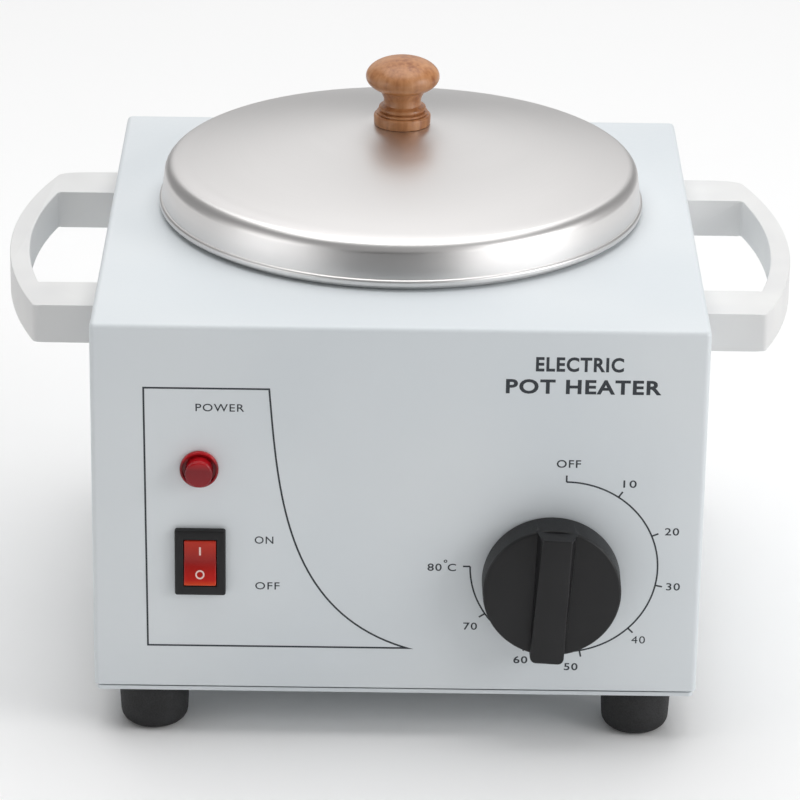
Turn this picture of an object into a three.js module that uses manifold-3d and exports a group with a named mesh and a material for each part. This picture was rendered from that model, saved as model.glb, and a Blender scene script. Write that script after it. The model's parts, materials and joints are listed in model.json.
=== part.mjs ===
// Electric wax warmer: a folded steel case with an aluminium pot that lifts out, a spun lid with a
// turned wooden knob, two moulded side handles, and a thermostat, pilot lamp and rocker switch.
// Millimetres, +Z up, front towards -Y. The origin is on the ground, at the middle of the footprint.

import * as THREE from 'three';
import { mergeVertices } from 'three/addons/utils/BufferGeometryUtils.js';
import Module from 'manifold-3d';

// ---- driving dimensions ------------------------------------------------------------------------

const ROUND = { large: 56, dial: 48, medium: 32, lamp: 28, coarse: 24, small: 20, post: 12, tiny: 10 };
const FIT = { slip: 0.3, pin: 0.2, shaft: 0.1, screw: 0.2 };

const CASE = { width: 180, depth: 185, height: 116, sheet: 1, topBend: 2, sideBend: 1.2, returnWidth: 10 };
const BASE = { sheet: 1.2, inset: 0.8, drop: 0.8, cornerRadius: 1.5, padRadius: 4 };
const VENT = { count: 7, width: 3, length: 60, pitch: 10 };
const FOOT = { topRadius: 10.7, bottomRadius: 9.9, height: 15, edge: 2.8, insetX: 17.3, insetY: 12.5 };

const POT = {
  axisY: 10.8, topRadius: 66.2, taper: 5.2, depth: 66, wall: 1, corner: 5,
  flange: 1.2, flangeWidth: 7, beadWidth: 1.5, beadHeight: 1.6,
};
const WELL = { gap: 0.8, wall: 0.8, floorGap: 1, lipWidth: 5, lip: 0.8 };
const HEATER = {
  thickness: 2.3, height: 30, bottom: 8, split: 7, earHeight: 8, earThickness: 2, earWidth: 16,
};
const INSULATION = { thickness: 5.6, height: 42, bottom: 3, windowWidth: 46 };
const POST = { angle: 13, radius: 3, collar: 4, pinRadius: 2, reach: 6, rise: 0.25 };

const LID = {
  overhang: 1.8, sheet: 0.9, hemHeight: 2, hemWidth: 2.6, lean: 1.5, skirt: 10,
  shoulder: 3.6, rise: 25.5, seatRadius: 9.2, steepness: 0.35,
};
const LID_KNOB = {
  height: 21.2, headRadius: 11.35, headHalf: 5.9, neckRadius: 5.7, baseRadius: 8.7, base: 3.3,
  boreDepth: 12.5,
};

const HANDLE = {
  length: 117.6, reach: 31.3, armReach: 20, thickness: 6.1, innerBow: 5.4, armThickness: 19.2, height: 12,
  topDrop: 12,
};

const KNOB = { fromRight: 44.4, height: 36.5, radius: 20.5, skirt: 9.4, wall: 2.1, gap: 0.6, hub: 6.2 };
const GRIP = { tail: 5, tailInset: 1.2, nose: 2.6, width: 9.2, foot: 11.2, overhang: 1.8, noseDepth: 6 };
const DIAL = { restAngle: 183 };
const SHAFT = { radius: 3, flat: 0.8, inside: 13 };
const THERMOSTAT = {
  width: 32, height: 38, depth: 18, plateWidth: 40, plateHeight: 24, plate: 1, screwPitch: 28,
  screwReach: 6, tabX: 8, tabY: 10,
};
const BULB = { radius: 2.6, length: 46, tube: 0.8, offset: -22 };

const SWITCH = {
  fromLeft: 31.9, height: 41.2, border: 1.2, bezel: 2, bodyWidth: 12.6, bodyTall: 18.6, depth: 13,
  wallX: 1.35, wallY: 1.7, cavity: 8, cutGap: 0.2,
};
const ROCKER = { sideGap: 0.25, endGap: 0.7, proud: 3.2, dip: 1, tilt: 9, pin: 1.1, pinSink: 0.75 };
const BLADE = { width: 4.8, thickness: 0.8, length: 8, pitch: 6.3 };
const LAMP = {
  fromLeft: 31.7, height: 70.9, flangeRadius: 5.7, flange: 1.4, lensRadius: 4, lens: 3.6,
  barrelRadius: 4.8, barrel: 16, nutRadius: 7.5, nut: 3, cap: 5, capTip: 3.2,
};

const GLAND = {
  fromRight: 40, height: 28, boreRadius: 3.7, threadRadius: 6, thread: 9, hexRadius: 9, hex: 4,
  domeRadius: 7.4, tipRadius: 5.6, reach: 15, nut: 4,
};
const BLOCK = { width: 30, depth: 16, height: 15, x: 44, fromBack: 32, ways: 3, wayRadius: 2.2 };
const CUTOUT = { radius: 8, height: 9, x: -18 };

const SCREW = { radius: 1.9, head: 3.6, headHeight: 2.3 };
const FOOT_SCREW = { recessRadius: 4.2, recess: 4.5, reach: 5 };
const HANDLE_SCREW = { reach: 13, pitch: 98.4 };
const BASE_SCREW = { fromSide: 6, pitch: 100, reach: 5 };
const LID_SCREW = { reach: 11 };
const EARTH_SCREW = { reach: 5 };
const WIRE = { radius: 1.1, steps: 12, sides: 4 };

// ---- heights and places that follow from them --------------------------------------------------

const caseBottom = FOOT.height + BASE.sheet + BASE.drop;
const caseTop = caseBottom + CASE.height;
const baseTop = FOOT.height + BASE.sheet;
const front = -CASE.depth / 2;
const back = CASE.depth / 2;
const side = CASE.width / 2;

const wellRadius = POT.topRadius + WELL.gap;
const wellOuter = wellRadius + WELL.wall;
const wellFloor = caseTop - POT.depth - WELL.floorGap;
const wellBottom = wellFloor - WELL.wall;
const topHole = wellOuter + FIT.slip;
const heaterInner = wellOuter + FIT.slip;
const heaterOuter = heaterInner + HEATER.thickness;
const heaterBottom = wellBottom + HEATER.bottom;
const insulationInner = heaterOuter + FIT.slip;
const insulationOuter = insulationInner + INSULATION.thickness;
const potFlangeRadius = POT.topRadius + POT.flangeWidth;
const lidRadius = potFlangeRadius + LID.overhang;
const lidShoulderRadius = lidRadius - LID.lean;
const lidBottom = caseTop + POT.flange;

const knobX = side - KNOB.fromRight;
const switchX = -side + SWITCH.fromLeft;
const lampX = -side + LAMP.fromLeft;
const glandX = side - GLAND.fromRight;
const knobFront = KNOB.gap + KNOB.skirt;
const reachFront = knobFront + GRIP.tail;
const windowWidth = SWITCH.bodyWidth - 2 * SWITCH.wallX;
const windowTall = SWITCH.bodyTall - 2 * SWITCH.wallY;
const pinReach = windowWidth / 2 + ROCKER.pinSink;
const originY = (GLAND.reach - reachFront) / 2;

// ---- solids ------------------------------------------------------------------------------------

const wasm = await Module();
wasm.setup();

const X = new THREE.Vector3(1, 0, 0);
const Y = new THREE.Vector3(0, 1, 0);
const Z = new THREE.Vector3(0, 0, 1);
const alongX = new THREE.Matrix4().makeBasis(Y, Z, X);
const alongY = new THREE.Matrix4().makeBasis(X, Z, Y.clone().negate());
const lathed = new THREE.Matrix4().makeRotationX(Math.PI / 2);

function solidOf(geometry, matrix) {
  const bare = geometry.clone();
  bare.deleteAttribute('normal');
  bare.deleteAttribute('uv');
  if (matrix) bare.applyMatrix4(matrix);
  const welded = mergeVertices(bare, 1e-4);
  const corners = [];
  const index = welded.index.array;
  for (let i = 0; i < index.length; i += 3) {
    const [a, b, c] = [index[i], index[i + 1], index[i + 2]];
    if (a !== b && b !== c && c !== a) corners.push(a, b, c);
  }
  return new wasm.Manifold(new wasm.Mesh({
    numProp: 3,
    vertProperties: new Float32Array(welded.attributes.position.array),
    triVerts: new Uint32Array(corners),
  }));
}

// A turned piece about Z. The outline is [radius, height] pairs, anticlockwise with the radius to the
// right: it starts and ends on the axis, or closes on itself round a hole.
function turned(outline, segments = ROUND.small) {
  const points = outline.map(([r, z]) => new THREE.Vector2(r, z));
  const open = outline[0][0] > 0;
  if (open) points.push(points[0].clone());
  return solidOf(new THREE.LatheGeometry(points, segments), lathed);
}

function rod(radius, from, to, segments = ROUND.small) {
  return turned([[0, from], [radius, from], [radius, to], [0, to]], segments);
}

function ring(inner, outer, from, to, segments = ROUND.medium) {
  return turned([[inner, from], [outer, from], [outer, to], [inner, to]], segments);
}

function hexNut(bore, cornerRadius, height) {
  return rod(cornerRadius, -height, 0, 6).subtract(rod(bore, -height - 1, 1));
}

function block(width, depth, height, x = 0, y = 0, z = 0) {
  const box = new THREE.BoxGeometry(width, depth, height);
  box.translate(x, y, z + height / 2);
  return solidOf(box);
}

function prism(shape, from, to, matrix, curveSegments = 2) {
  const geometry = new THREE.ExtrudeGeometry(shape, { depth: to - from, bevelEnabled: false, curveSegments });
  geometry.translate(0, 0, from);
  return solidOf(geometry, matrix);
}

function polygon(points) {
  return new THREE.Shape(points.map(([x, y]) => new THREE.Vector2(x, y)));
}

function roundedRectangle(width, height, radius) {
  const [w, h] = [width / 2, height / 2];
  const shape = new THREE.Shape();
  shape.moveTo(-w + radius, -h);
  shape.lineTo(w - radius, -h);
  shape.absarc(w - radius, -h + radius, radius, -Math.PI / 2, 0);
  shape.lineTo(w, h - radius);
  shape.absarc(w - radius, h - radius, radius, 0, Math.PI / 2);
  shape.lineTo(-w + radius, h);
  shape.absarc(-w + radius, h - radius, radius, Math.PI / 2, Math.PI);
  shape.lineTo(-w, -h + radius);
  shape.absarc(-w + radius, -h + radius, radius, Math.PI, Math.PI * 1.5);
  return shape;
}

function moved(solid, x, y, z) {
  return solid.translate([x, y, z]);
}

function geometryOf(solid) {
  const mesh = solid.getMesh();
  const geometry = new THREE.BufferGeometry();
  geometry.setAttribute('position', new THREE.BufferAttribute(new Float32Array(mesh.vertProperties), 3));
  geometry.setIndex(new THREE.BufferAttribute(new Uint32Array(mesh.triVerts), 1));
  geometry.computeVertexNormals();
  return geometry;
}

// ---- materials ---------------------------------------------------------------------------------

function finish(color, roughness, metalness = 0, extra = {}) {
  return () => new THREE.MeshStandardMaterial({ color, roughness, metalness, ...extra });
}

const powderCoat = finish(0xe4e8ea, 0.45);
const whitePlastic = finish(0xe9e9e9, 0.5);
const blackPlastic = finish(0x2c2c2e, 0.42);
const rubber = finish(0x28282a, 0.8);
const spunAluminium = finish(0xd4d3d2, 0.32, 1);
const potAluminium = finish(0xc9c9c8, 0.38, 1);
const zincSteel = finish(0xb9bcc0, 0.4, 1);
const wood = finish(0xc08a62, 0.5);
const redPlastic = finish(0xc0241e, 0.25, 0, { transparent: true, opacity: 0.9 });
const fibre = finish(0xe6e0d2, 0.95);
const mica = finish(0xa8885c, 0.7);
const brass = finish(0xb99a4e, 0.35, 1);
const nylon = finish(0x303033, 0.5);
const ceramic = finish(0xe8e4da, 0.4);

// ---- scene graph -------------------------------------------------------------------------------

const warmer = new THREE.Group();
warmer.position.y = -originY;

function add(parent, name, solid, material, at = [0, 0, 0], turn = [0, 0, 0]) {
  const mesh = new THREE.Mesh(geometryOf(solid), material());
  mesh.name = name;
  mesh.position.set(...at);
  mesh.rotation.set(...turn);
  parent.add(mesh);
  return mesh;
}

function group(parent, at, turn = [0, 0, 0]) {
  const made = new THREE.Group();
  made.position.set(...at);
  made.rotation.set(...turn);
  parent.add(made);
  return made;
}

// A face group's own x runs with the case, its y is up and its z points out of the front panel.
const outwards = [Math.PI / 2, 0, 0];
const frontPanel = group(warmer, [0, front, caseBottom], outwards);
const potAxis = group(warmer, [0, POT.axisY, 0]);

function panHead(reach) {
  const { radius, head, headHeight } = SCREW;
  const crown = headHeight * 0.45;
  return turned([
    [0, -reach], [radius, -reach], [radius, 0], [head, 0], [head, crown],
    [head * 0.72, headHeight], [0, headHeight],
  ], ROUND.tiny);
}

// ---- case, base plate and feet -----------------------------------------------------------------

function caseBlank(shrink, bends) {
  const [width, depth] = [CASE.width - 2 * shrink, CASE.depth - 2 * shrink];
  const tall = 2 * (CASE.height - shrink);
  const [top, corner] = bends ? [CASE.topBend, CASE.sideBend] : [0.01, 0.01];
  const wrap = prism(roundedRectangle(depth, tall, top), -width / 2, width / 2, alongX);
  const plan = prism(roundedRectangle(width, depth, corner), bends ? 0 : -1, CASE.height - shrink);
  return moved(wrap.intersect(plan), 0, 0, caseBottom);
}

function frontCutter(solid, x, height) {
  return moved(solid.transform(outwardsMatrix), x, front, caseBottom + height);
}

const outwardsMatrix = new THREE.Matrix4().makeRotationX(Math.PI / 2).toArray();
const screwHole = SCREW.radius + FIT.screw;
const footPlaces = [
  ['front_left', -1, -1], ['front_right', 1, -1], ['rear_left', -1, 1], ['rear_right', 1, 1],
].map(([name, sx, sy]) => ({ name, x: sx * (side - FOOT.insetX), y: sy * (back - FOOT.insetY) }));
const baseScrewPlaces = [
  ['front_left', -1, -1], ['front_right', 1, -1], ['rear_left', -1, 1], ['rear_right', 1, 1],
].map(([name, sx, sy]) => ({ name, x: sx * (side - BASE_SCREW.fromSide), y: sy * BASE_SCREW.pitch / 2 }));
const handleTop = caseTop - HANDLE.topDrop;
const handleMiddle = handleTop - HANDLE.height / 2;
const blockY = back - BLOCK.fromBack;
const earth = { x: BLOCK.x + BLOCK.width, y: blockY };

function caseShell() {
  let shell = caseBlank(0, true).subtract(caseBlank(CASE.sheet, false));
  const returnX = side - CASE.sheet / 2 - CASE.returnWidth / 2;
  for (const sign of [-1, 1]) {
    const depth = CASE.depth - CASE.sheet;
    shell = shell.add(block(CASE.returnWidth, depth, CASE.sheet, sign * returnX, 0, caseBottom));
  }
  shell = shell.subtract(moved(rod(topHole, caseTop - 5, caseTop + 5, ROUND.large), 0, POT.axisY, 0));
  for (const { x, y } of baseScrewPlaces) {
    shell = shell.subtract(moved(rod(screwHole, caseBottom - 1, caseBottom + 2, ROUND.tiny), x, y, 0));
  }
  for (const y of [-HANDLE_SCREW.pitch / 2, HANDLE_SCREW.pitch / 2]) {
    const hole = rod(screwHole, -side - 5, side + 5, ROUND.tiny).rotate([0, 90, 0]);
    shell = shell.subtract(moved(hole, 0, POT.axisY + y, handleMiddle));
  }
  const cut = 2 * SWITCH.cutGap;
  const switchHole = block(SWITCH.bodyWidth + cut, SWITCH.bodyTall + cut, 10, 0, 0, -5);
  const lampHole = rod(LAMP.barrelRadius + FIT.slip, -5, 5);
  const shaftHole = rod(SHAFT.radius + 1.2, -5, 5);
  shell = shell.subtract(frontCutter(switchHole, switchX, SWITCH.height));
  shell = shell.subtract(frontCutter(lampHole, lampX, LAMP.height));
  shell = shell.subtract(frontCutter(shaftHole, knobX, KNOB.height));
  for (const dx of [-THERMOSTAT.screwPitch / 2, THERMOSTAT.screwPitch / 2]) {
    shell = shell.subtract(frontCutter(rod(screwHole, -5, 5, ROUND.tiny), knobX + dx, KNOB.height));
  }
  const glandHole = rod(GLAND.threadRadius + FIT.slip, -5, 5).transform(outwardsMatrix);
  return shell.subtract(moved(glandHole, glandX, back, caseBottom + GLAND.height));
}

function basePlate() {
  const [width, depth] = [CASE.width - 2 * BASE.inset, CASE.depth - 2 * BASE.inset];
  let plate = prism(roundedRectangle(width, depth, BASE.cornerRadius), FOOT.height, baseTop);
  for (const { x, y } of baseScrewPlaces) {
    plate = plate.add(moved(rod(BASE.padRadius, FOOT.height, caseBottom, ROUND.small), x, y, 0));
    plate = plate.subtract(moved(rod(screwHole, 0, caseTop, ROUND.tiny), x, y, 0));
  }
  for (const { x, y } of [...footPlaces, earth]) {
    plate = plate.subtract(moved(rod(screwHole, 0, caseTop, ROUND.tiny), x, y, 0));
  }
  for (let i = 0; i < VENT.count; i += 1) {
    const x = (i - (VENT.count - 1) / 2) * VENT.pitch;
    const outline = roundedRectangle(VENT.width, VENT.length, VENT.width / 2 - 0.01);
    const slot = prism(outline, 0, caseTop, undefined, 1);
    plate = plate.subtract(moved(slot, x, POT.axisY - VENT.length / 2, 0));
  }
  return plate;
}

function foot() {
  const { topRadius, bottomRadius, height, edge } = FOOT;
  const rounded = [];
  for (let i = 0; i <= 3; i += 1) {
    const angle = (i / 3) * Math.PI / 2;
    rounded.push([bottomRadius - edge + edge * Math.sin(angle), edge - edge * Math.cos(angle)]);
  }
  return turned([
    [screwHole, FOOT_SCREW.recess], [FOOT_SCREW.recessRadius, FOOT_SCREW.recess],
    [FOOT_SCREW.recessRadius, 0],
    ...rounded, [topRadius, height], [screwHole, height],
  ], ROUND.coarse);
}

add(warmer, 'case_shell', caseShell(), powderCoat);
add(warmer, 'base_plate', basePlate(), powderCoat);

const footScrewHead = FOOT_SCREW.recess;
for (const { name, x, y } of footPlaces) {
  const corner = group(warmer, [x, y, 0]);
  add(corner, `foot_${name}`, foot(), rubber);
  const reach = FOOT.height - footScrewHead + FOOT_SCREW.reach;
  add(corner, `foot_screw_${name}`, panHead(reach), zincSteel, [0, 0, footScrewHead], [Math.PI, 0, 0]);
}
for (const { name, x, y } of baseScrewPlaces) {
  const reach = BASE.sheet + BASE_SCREW.reach;
  add(warmer, `base_screw_${name}`, panHead(reach), zincSteel, [x, y, FOOT.height], [Math.PI, 0, 0]);
}

// ---- handles -----------------------------------------------------------------------------------

function arcPoints(reach, corner, half, count) {
  const sagitta = reach - corner;
  const radius = (half * half + sagitta * sagitta) / (2 * sagitta);
  const points = [];
  for (let i = 0; i <= count; i += 1) {
    const y = -half + (2 * half * i) / count;
    points.push([reach - radius + Math.sqrt(radius * radius - y * y), y]);
  }
  return points;
}

function handle() {
  const half = HANDLE.length / 2;
  const gap = half - HANDLE.armThickness;
  const inner = HANDLE.reach - HANDLE.thickness;
  const outer = arcPoints(HANDLE.reach, HANDLE.armReach, half, 16);
  const hollow = arcPoints(inner, inner - HANDLE.innerBow, gap, 12).reverse();
  const outline = polygon([[0, -half], ...outer, [0, half], [0, gap], ...hollow, [0, -gap]]);
  let grip = prism(outline, -HANDLE.height / 2, HANDLE.height / 2);
  for (const y of [-HANDLE_SCREW.pitch / 2, HANDLE_SCREW.pitch / 2]) {
    const bore = rod(screwHole, -1, HANDLE_SCREW.reach + 1, ROUND.tiny).rotate([0, 90, 0]);
    grip = grip.subtract(moved(bore, 0, y, 0));
  }
  return grip;
}

for (const [name, sign] of [['left', -1], ['right', 1]]) {
  const turn = sign < 0 ? Math.PI : 0;
  const mount = group(warmer, [sign * side, POT.axisY, handleMiddle], [0, 0, turn]);
  add(mount, `handle_${name}`, handle(), whitePlastic);
  for (const [place, dy] of [['front', -1], ['rear', 1]]) {
    const y = sign * dy * HANDLE_SCREW.pitch / 2;
    const screw = panHead(HANDLE_SCREW.reach + CASE.sheet);
    add(mount, `handle_screw_${name}_${place}`, screw, zincSteel, [-CASE.sheet, y, 0], [0, -Math.PI / 2, 0]);
  }
}

// ---- heating well, heater and insulation -------------------------------------------------------

function heatingWell() {
  const lipTop = caseTop - CASE.sheet;
  const lipBottom = lipTop - WELL.lip;
  return turned([
    [0, wellBottom], [wellOuter, wellBottom], [wellOuter, lipBottom], [wellOuter + WELL.lipWidth, lipBottom],
    [wellOuter + WELL.lipWidth, lipTop], [wellRadius, lipTop], [wellRadius, wellFloor], [0, wellFloor],
  ], ROUND.large);
}

const earY = -heaterOuter - HEATER.earHeight / 2;
const earZ = heaterBottom + HEATER.height / 2;

function heaterBand() {
  const { height, split, earHeight, earThickness, earWidth } = HEATER;
  let band = ring(heaterInner, heaterOuter, heaterBottom, heaterBottom + height, ROUND.large);
  band = band.subtract(block(split, 20, height + 2, 0, -heaterOuter, heaterBottom - 1));
  const earX = (split + earThickness) / 2;
  for (const sign of [-1, 1]) {
    const ear = block(earThickness, earHeight + 1, earWidth, sign * earX, earY + 0.5, earZ - earWidth / 2);
    band = band.add(ear);
  }
  return band.subtract(moved(rod(screwHole, -20, 20, ROUND.tiny).rotate([0, 90, 0]), 0, earY, earZ));
}

function insulation() {
  const bottom = wellBottom + INSULATION.bottom;
  const sleeve = ring(insulationInner, insulationOuter, bottom, bottom + INSULATION.height, ROUND.large);
  return sleeve.subtract(block(INSULATION.windowWidth, 40, 200, 0, -insulationOuter, 0));
}

add(potAxis, 'heating_well', heatingWell(), potAluminium);
add(potAxis, 'heater_band', heaterBand(), mica);
add(potAxis, 'insulation_sleeve', insulation(), fibre);
const clampHead = HEATER.split / 2 + HEATER.earThickness;
add(potAxis, 'heater_clamp_screw', panHead(2 * clampHead + 3), zincSteel, [clampHead, earY, earZ],
  [0, Math.PI / 2, 0]);

const postGap = 0.1;
const postPlaces = [-1, 1].map((sign) => {
  const angle = THREE.MathUtils.degToRad(POST.angle) * sign;
  return { x: Math.sin(angle), y: -Math.cos(angle), angle };
});
const postZ = heaterBottom + HEATER.height * POST.rise;
postPlaces.forEach(({ x, y, angle }, i) => {
  const at = [x * (heaterOuter + postGap), y * (heaterOuter + postGap), postZ];
  const { radius, collar, pinRadius, reach } = POST;
  const post = turned([
    [0, 0], [radius, 0], [radius, collar], [pinRadius, collar], [pinRadius, reach], [0, reach],
  ], ROUND.post);
  const name = i === 0 ? 'heater_post_left' : 'heater_post_right';
  const hub = group(potAxis, at, [0, 0, angle]);
  add(hub, name, post, ceramic, [0, 0, 0], [Math.PI / 2, 0, 0]);
});

add(potAxis, 'thermal_cutout', turned([
  [0, -CUTOUT.height], [CUTOUT.radius * 0.6, -CUTOUT.height], [CUTOUT.radius * 0.6, -CUTOUT.height + 3],
  [CUTOUT.radius, -CUTOUT.height + 3], [CUTOUT.radius, 0], [0, 0],
]), nylon, [CUTOUT.x, 0, wellBottom]);

// ---- pot ---------------------------------------------------------------------------------------

function waxPot() {
  const { topRadius, taper, depth, wall, corner, flange, beadWidth, beadHeight } = POT;
  const bottomRadius = topRadius - taper;
  const floor = caseTop - depth;
  const beadOuter = lidRadius - LID.hemWidth - FIT.slip;
  const round = (radius, lift, count) => {
    const points = [];
    for (let i = 0; i <= count; i += 1) {
      const angle = (i / count) * Math.PI / 2;
      points.push([radius - lift + lift * Math.sin(angle), lift - lift * Math.cos(angle)]);
    }
    return points;
  };
  const outside = round(bottomRadius, corner, 3).map(([r, z]) => [r, floor + z]);
  const inside = round(bottomRadius - wall, corner - wall, 3).map(([r, z]) => [r, floor + wall + z]);
  inside.reverse();
  const flangeTop = caseTop + flange;
  const beadTop = flangeTop + beadHeight;
  const beadInner = beadOuter - beadWidth;
  return turned([
    [0, floor], ...outside, [topRadius, caseTop - 2], [topRadius, caseTop], [potFlangeRadius, caseTop],
    [potFlangeRadius, flangeTop], [beadOuter, flangeTop], [beadOuter, beadTop],
    [beadInner, beadTop], [beadInner, flangeTop],
    [topRadius - wall, flangeTop], [topRadius - wall, caseTop - 2], ...inside, [0, floor + wall],
  ], ROUND.large);
}

add(potAxis, 'wax_pot', waxPot(), potAluminium);

// ---- lid ---------------------------------------------------------------------------------------

// Height of the lid's top over its lower edge: a crowned cone between the seat and the shoulder.
function crown(radius) {
  const start = LID.skirt + LID.shoulder;
  const span = lidShoulderRadius - LID.shoulder - LID.seatRadius;
  const t = Math.max(0, radius - LID.seatRadius) / span;
  const fall = (1 - LID.steepness) * t + LID.steepness * t * t;
  return LID.rise - (LID.rise - start) * fall;
}

function lidShell() {
  const { sheet, hemHeight, hemWidth, skirt, shoulder, seatRadius } = LID;
  const [radius, shoulderRadius] = [lidRadius, lidShoulderRadius];
  const outside = [
    [radius, 0], [radius, hemHeight - 0.5], [radius - 0.5, hemHeight], [shoulderRadius, skirt],
  ];
  for (let i = 1; i < 4; i += 1) {
    const angle = (i / 4) * Math.PI / 2;
    const lift = shoulder * Math.sin(angle);
    outside.push([shoulderRadius - shoulder + shoulder * Math.cos(angle), skirt + lift]);
  }
  const edge = shoulderRadius - shoulder;
  for (let i = 0; i <= 5; i += 1) {
    const r = edge + (seatRadius - edge) * (i / 5);
    outside.push([r, crown(r)]);
  }
  outside.push([screwHole, LID.rise]);
  const inside = [[screwHole, LID.rise - sheet]];
  for (let i = 5; i >= 0; i -= 1) {
    const r = edge + (seatRadius - edge) * (i / 5);
    inside.push([r, crown(r) - sheet]);
  }
  inside.push([shoulderRadius - sheet - 1, skirt + 0.8], [shoulderRadius - sheet, skirt - 1]);
  inside.push([radius - 0.5 - sheet, hemHeight], [radius - hemWidth, hemHeight], [radius - hemWidth, 0]);
  return turned([...outside, ...inside], ROUND.large);
}

function lidKnob() {
  const { height, headRadius, headHalf, neckRadius, baseRadius, base, boreDepth } = LID_KNOB;
  const outline = [
    [screwHole, 0], [baseRadius - 0.4, 0], [baseRadius, 0.5], [baseRadius, base - 0.5],
    [baseRadius - 0.5, base],
    [baseRadius - 0.8, base + 0.1], [baseRadius - 0.8, base + 0.8], [neckRadius + 1.6, base + 1.5],
    [neckRadius + 1.6, base + 2.2], [neckRadius + 0.3, base + 3.2], [neckRadius, base + 4.6],
    [neckRadius + 0.6, base + 6],
  ];
  const middle = height - headHalf;
  const start = -Math.PI * 0.3;
  for (let i = 0; i <= 8; i += 1) {
    const angle = start + (Math.PI / 2 - start) * (i / 8);
    outline.push([Math.max(0, headRadius * Math.cos(angle)), middle + headHalf * Math.sin(angle)]);
  }
  outline[outline.length - 1][0] = 0;
  return turned([[0, boreDepth], [screwHole, boreDepth], ...outline], ROUND.medium);
}

const lid = group(potAxis, [0, 0, lidBottom]);
add(lid, 'lid', lidShell(), spunAluminium);
add(lid, 'lid_knob', lidKnob(), wood, [0, 0, LID.rise]);
add(lid, 'lid_screw', panHead(LID.sheet + LID_SCREW.reach), zincSteel, [0, 0, LID.rise - LID.sheet],
  [Math.PI, 0, 0]);

// ---- thermostat and its knob -------------------------------------------------------------------

const knobAxis = group(frontPanel, [knobX, KNOB.height, 0]);

function thermostatBody() {
  const { width, height, depth, plateWidth, plateHeight, plate, screwPitch } = THERMOSTAT;
  const plateBack = -CASE.sheet - plate;
  let body = block(plateWidth, plateHeight, plate, 0, 0, plateBack);
  body = body.add(block(width, height, depth, 0, 0, plateBack - depth));
  body = body.subtract(rod(SHAFT.radius + FIT.pin, -SHAFT.inside - 1, 5));
  for (const dx of [-screwPitch / 2, screwPitch / 2]) {
    body = body.subtract(moved(rod(screwHole, -9, 5, ROUND.tiny), dx, 0, 0));
  }
  return body;
}

function dProfile(radius, flat) {
  const reach = radius - flat;
  const half = Math.acos(reach / radius);
  const shape = new THREE.Shape();
  shape.absarc(0, 0, radius, Math.PI / 2 + half, Math.PI / 2 - half + 2 * Math.PI);
  return shape;
}

function shaft() {
  const round = rod(SHAFT.radius, -SHAFT.inside, KNOB.gap);
  const flatted = prism(dProfile(SHAFT.radius, SHAFT.flat), KNOB.gap - 0.5, knobFront - 2, undefined, 10);
  return round.add(flatted);
}

function controlKnob() {
  const { radius, wall, gap, hub } = KNOB;
  const cavity = knobFront - 2.4;
  let body = turned([
    [0, cavity], [radius - wall, cavity], [radius - wall, gap], [radius, gap],
    [radius - 0.3, knobFront - 0.5], [radius - 0.8, knobFront], [0, knobFront],
  ], ROUND.dial);
  body = body.add(rod(hub, gap + 0.4, knobFront - 1, ROUND.medium));
  const tip = radius + GRIP.overhang;
  const profile = polygon([
    [-tip, knobFront - GRIP.noseDepth], [-radius + 3, cavity + 0.2], [radius - 0.8, cavity + 0.2],
    [radius - 0.8, knobFront], [radius - GRIP.tailInset, knobFront + GRIP.tail],
    [-tip + 1.5, knobFront + GRIP.nose], [-tip, knobFront + GRIP.nose - 1.2],
  ]);
  const bar = prism(profile, -GRIP.foot / 2, GRIP.foot / 2, alongX);
  const section = polygon([
    [-GRIP.foot / 2, -1], [GRIP.foot / 2, -1], [GRIP.foot / 2, knobFront],
    [GRIP.width / 2, knobFront + GRIP.tail + 0.1], [-GRIP.width / 2, knobFront + GRIP.tail + 0.1],
    [-GRIP.foot / 2, knobFront],
  ]);
  body = body.add(bar.intersect(prism(section, -40, 40, alongY)));
  const fit = dProfile(SHAFT.radius + FIT.shaft, SHAFT.flat);
  const socket = prism(fit, gap - 1, knobFront - 1.9, undefined, 10);
  return body.subtract(socket);
}

add(knobAxis, 'thermostat_body', thermostatBody(), ceramic);
for (const [name, sign] of [['left', -1], ['right', 1]]) {
  const at = [sign * THERMOSTAT.screwPitch / 2, 0, 0];
  add(knobAxis, `thermostat_screw_${name}`, panHead(THERMOSTAT.screwReach), zincSteel, at);
  const rear = -CASE.sheet - THERMOSTAT.plate - THERMOSTAT.depth;
  const tab = block(BLADE.thickness, BLADE.width, BLADE.length, 0, 0, -BLADE.length);
  add(knobAxis, `thermostat_terminal_${name}`, tab, brass, [sign * THERMOSTAT.tabX, THERMOSTAT.tabY, rear]);
}
const restTurn = THREE.MathUtils.degToRad(180 - DIAL.restAngle);
const turningKnob = group(knobAxis, [0, 0, 0], [0, 0, restTurn]);
add(turningKnob, 'thermostat_shaft', shaft(), zincSteel);
add(turningKnob, 'control_knob', controlKnob(), blackPlastic);

// ---- rocker switch -----------------------------------------------------------------------------

const switchAxis = group(frontPanel, [switchX, SWITCH.height, 0]);

function switchHousing() {
  const { border, bezel, bodyWidth, bodyTall, depth, cavity } = SWITCH;
  let body = prism(roundedRectangle(bodyWidth + 2 * border, bodyTall + 2 * border, 0.6), 0, bezel);
  body = body.add(block(bodyWidth, bodyTall, depth + 0.5, 0, 0, -depth));
  body = body.subtract(block(windowWidth, windowTall, cavity + 1, 0, 0, bezel - cavity));
  const pinHole = rod(ROCKER.pin + FIT.pin, -pinReach - FIT.pin, pinReach + FIT.pin, ROUND.tiny);
  return body.subtract(pinHole.rotate([0, 90, 0]));
}

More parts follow.
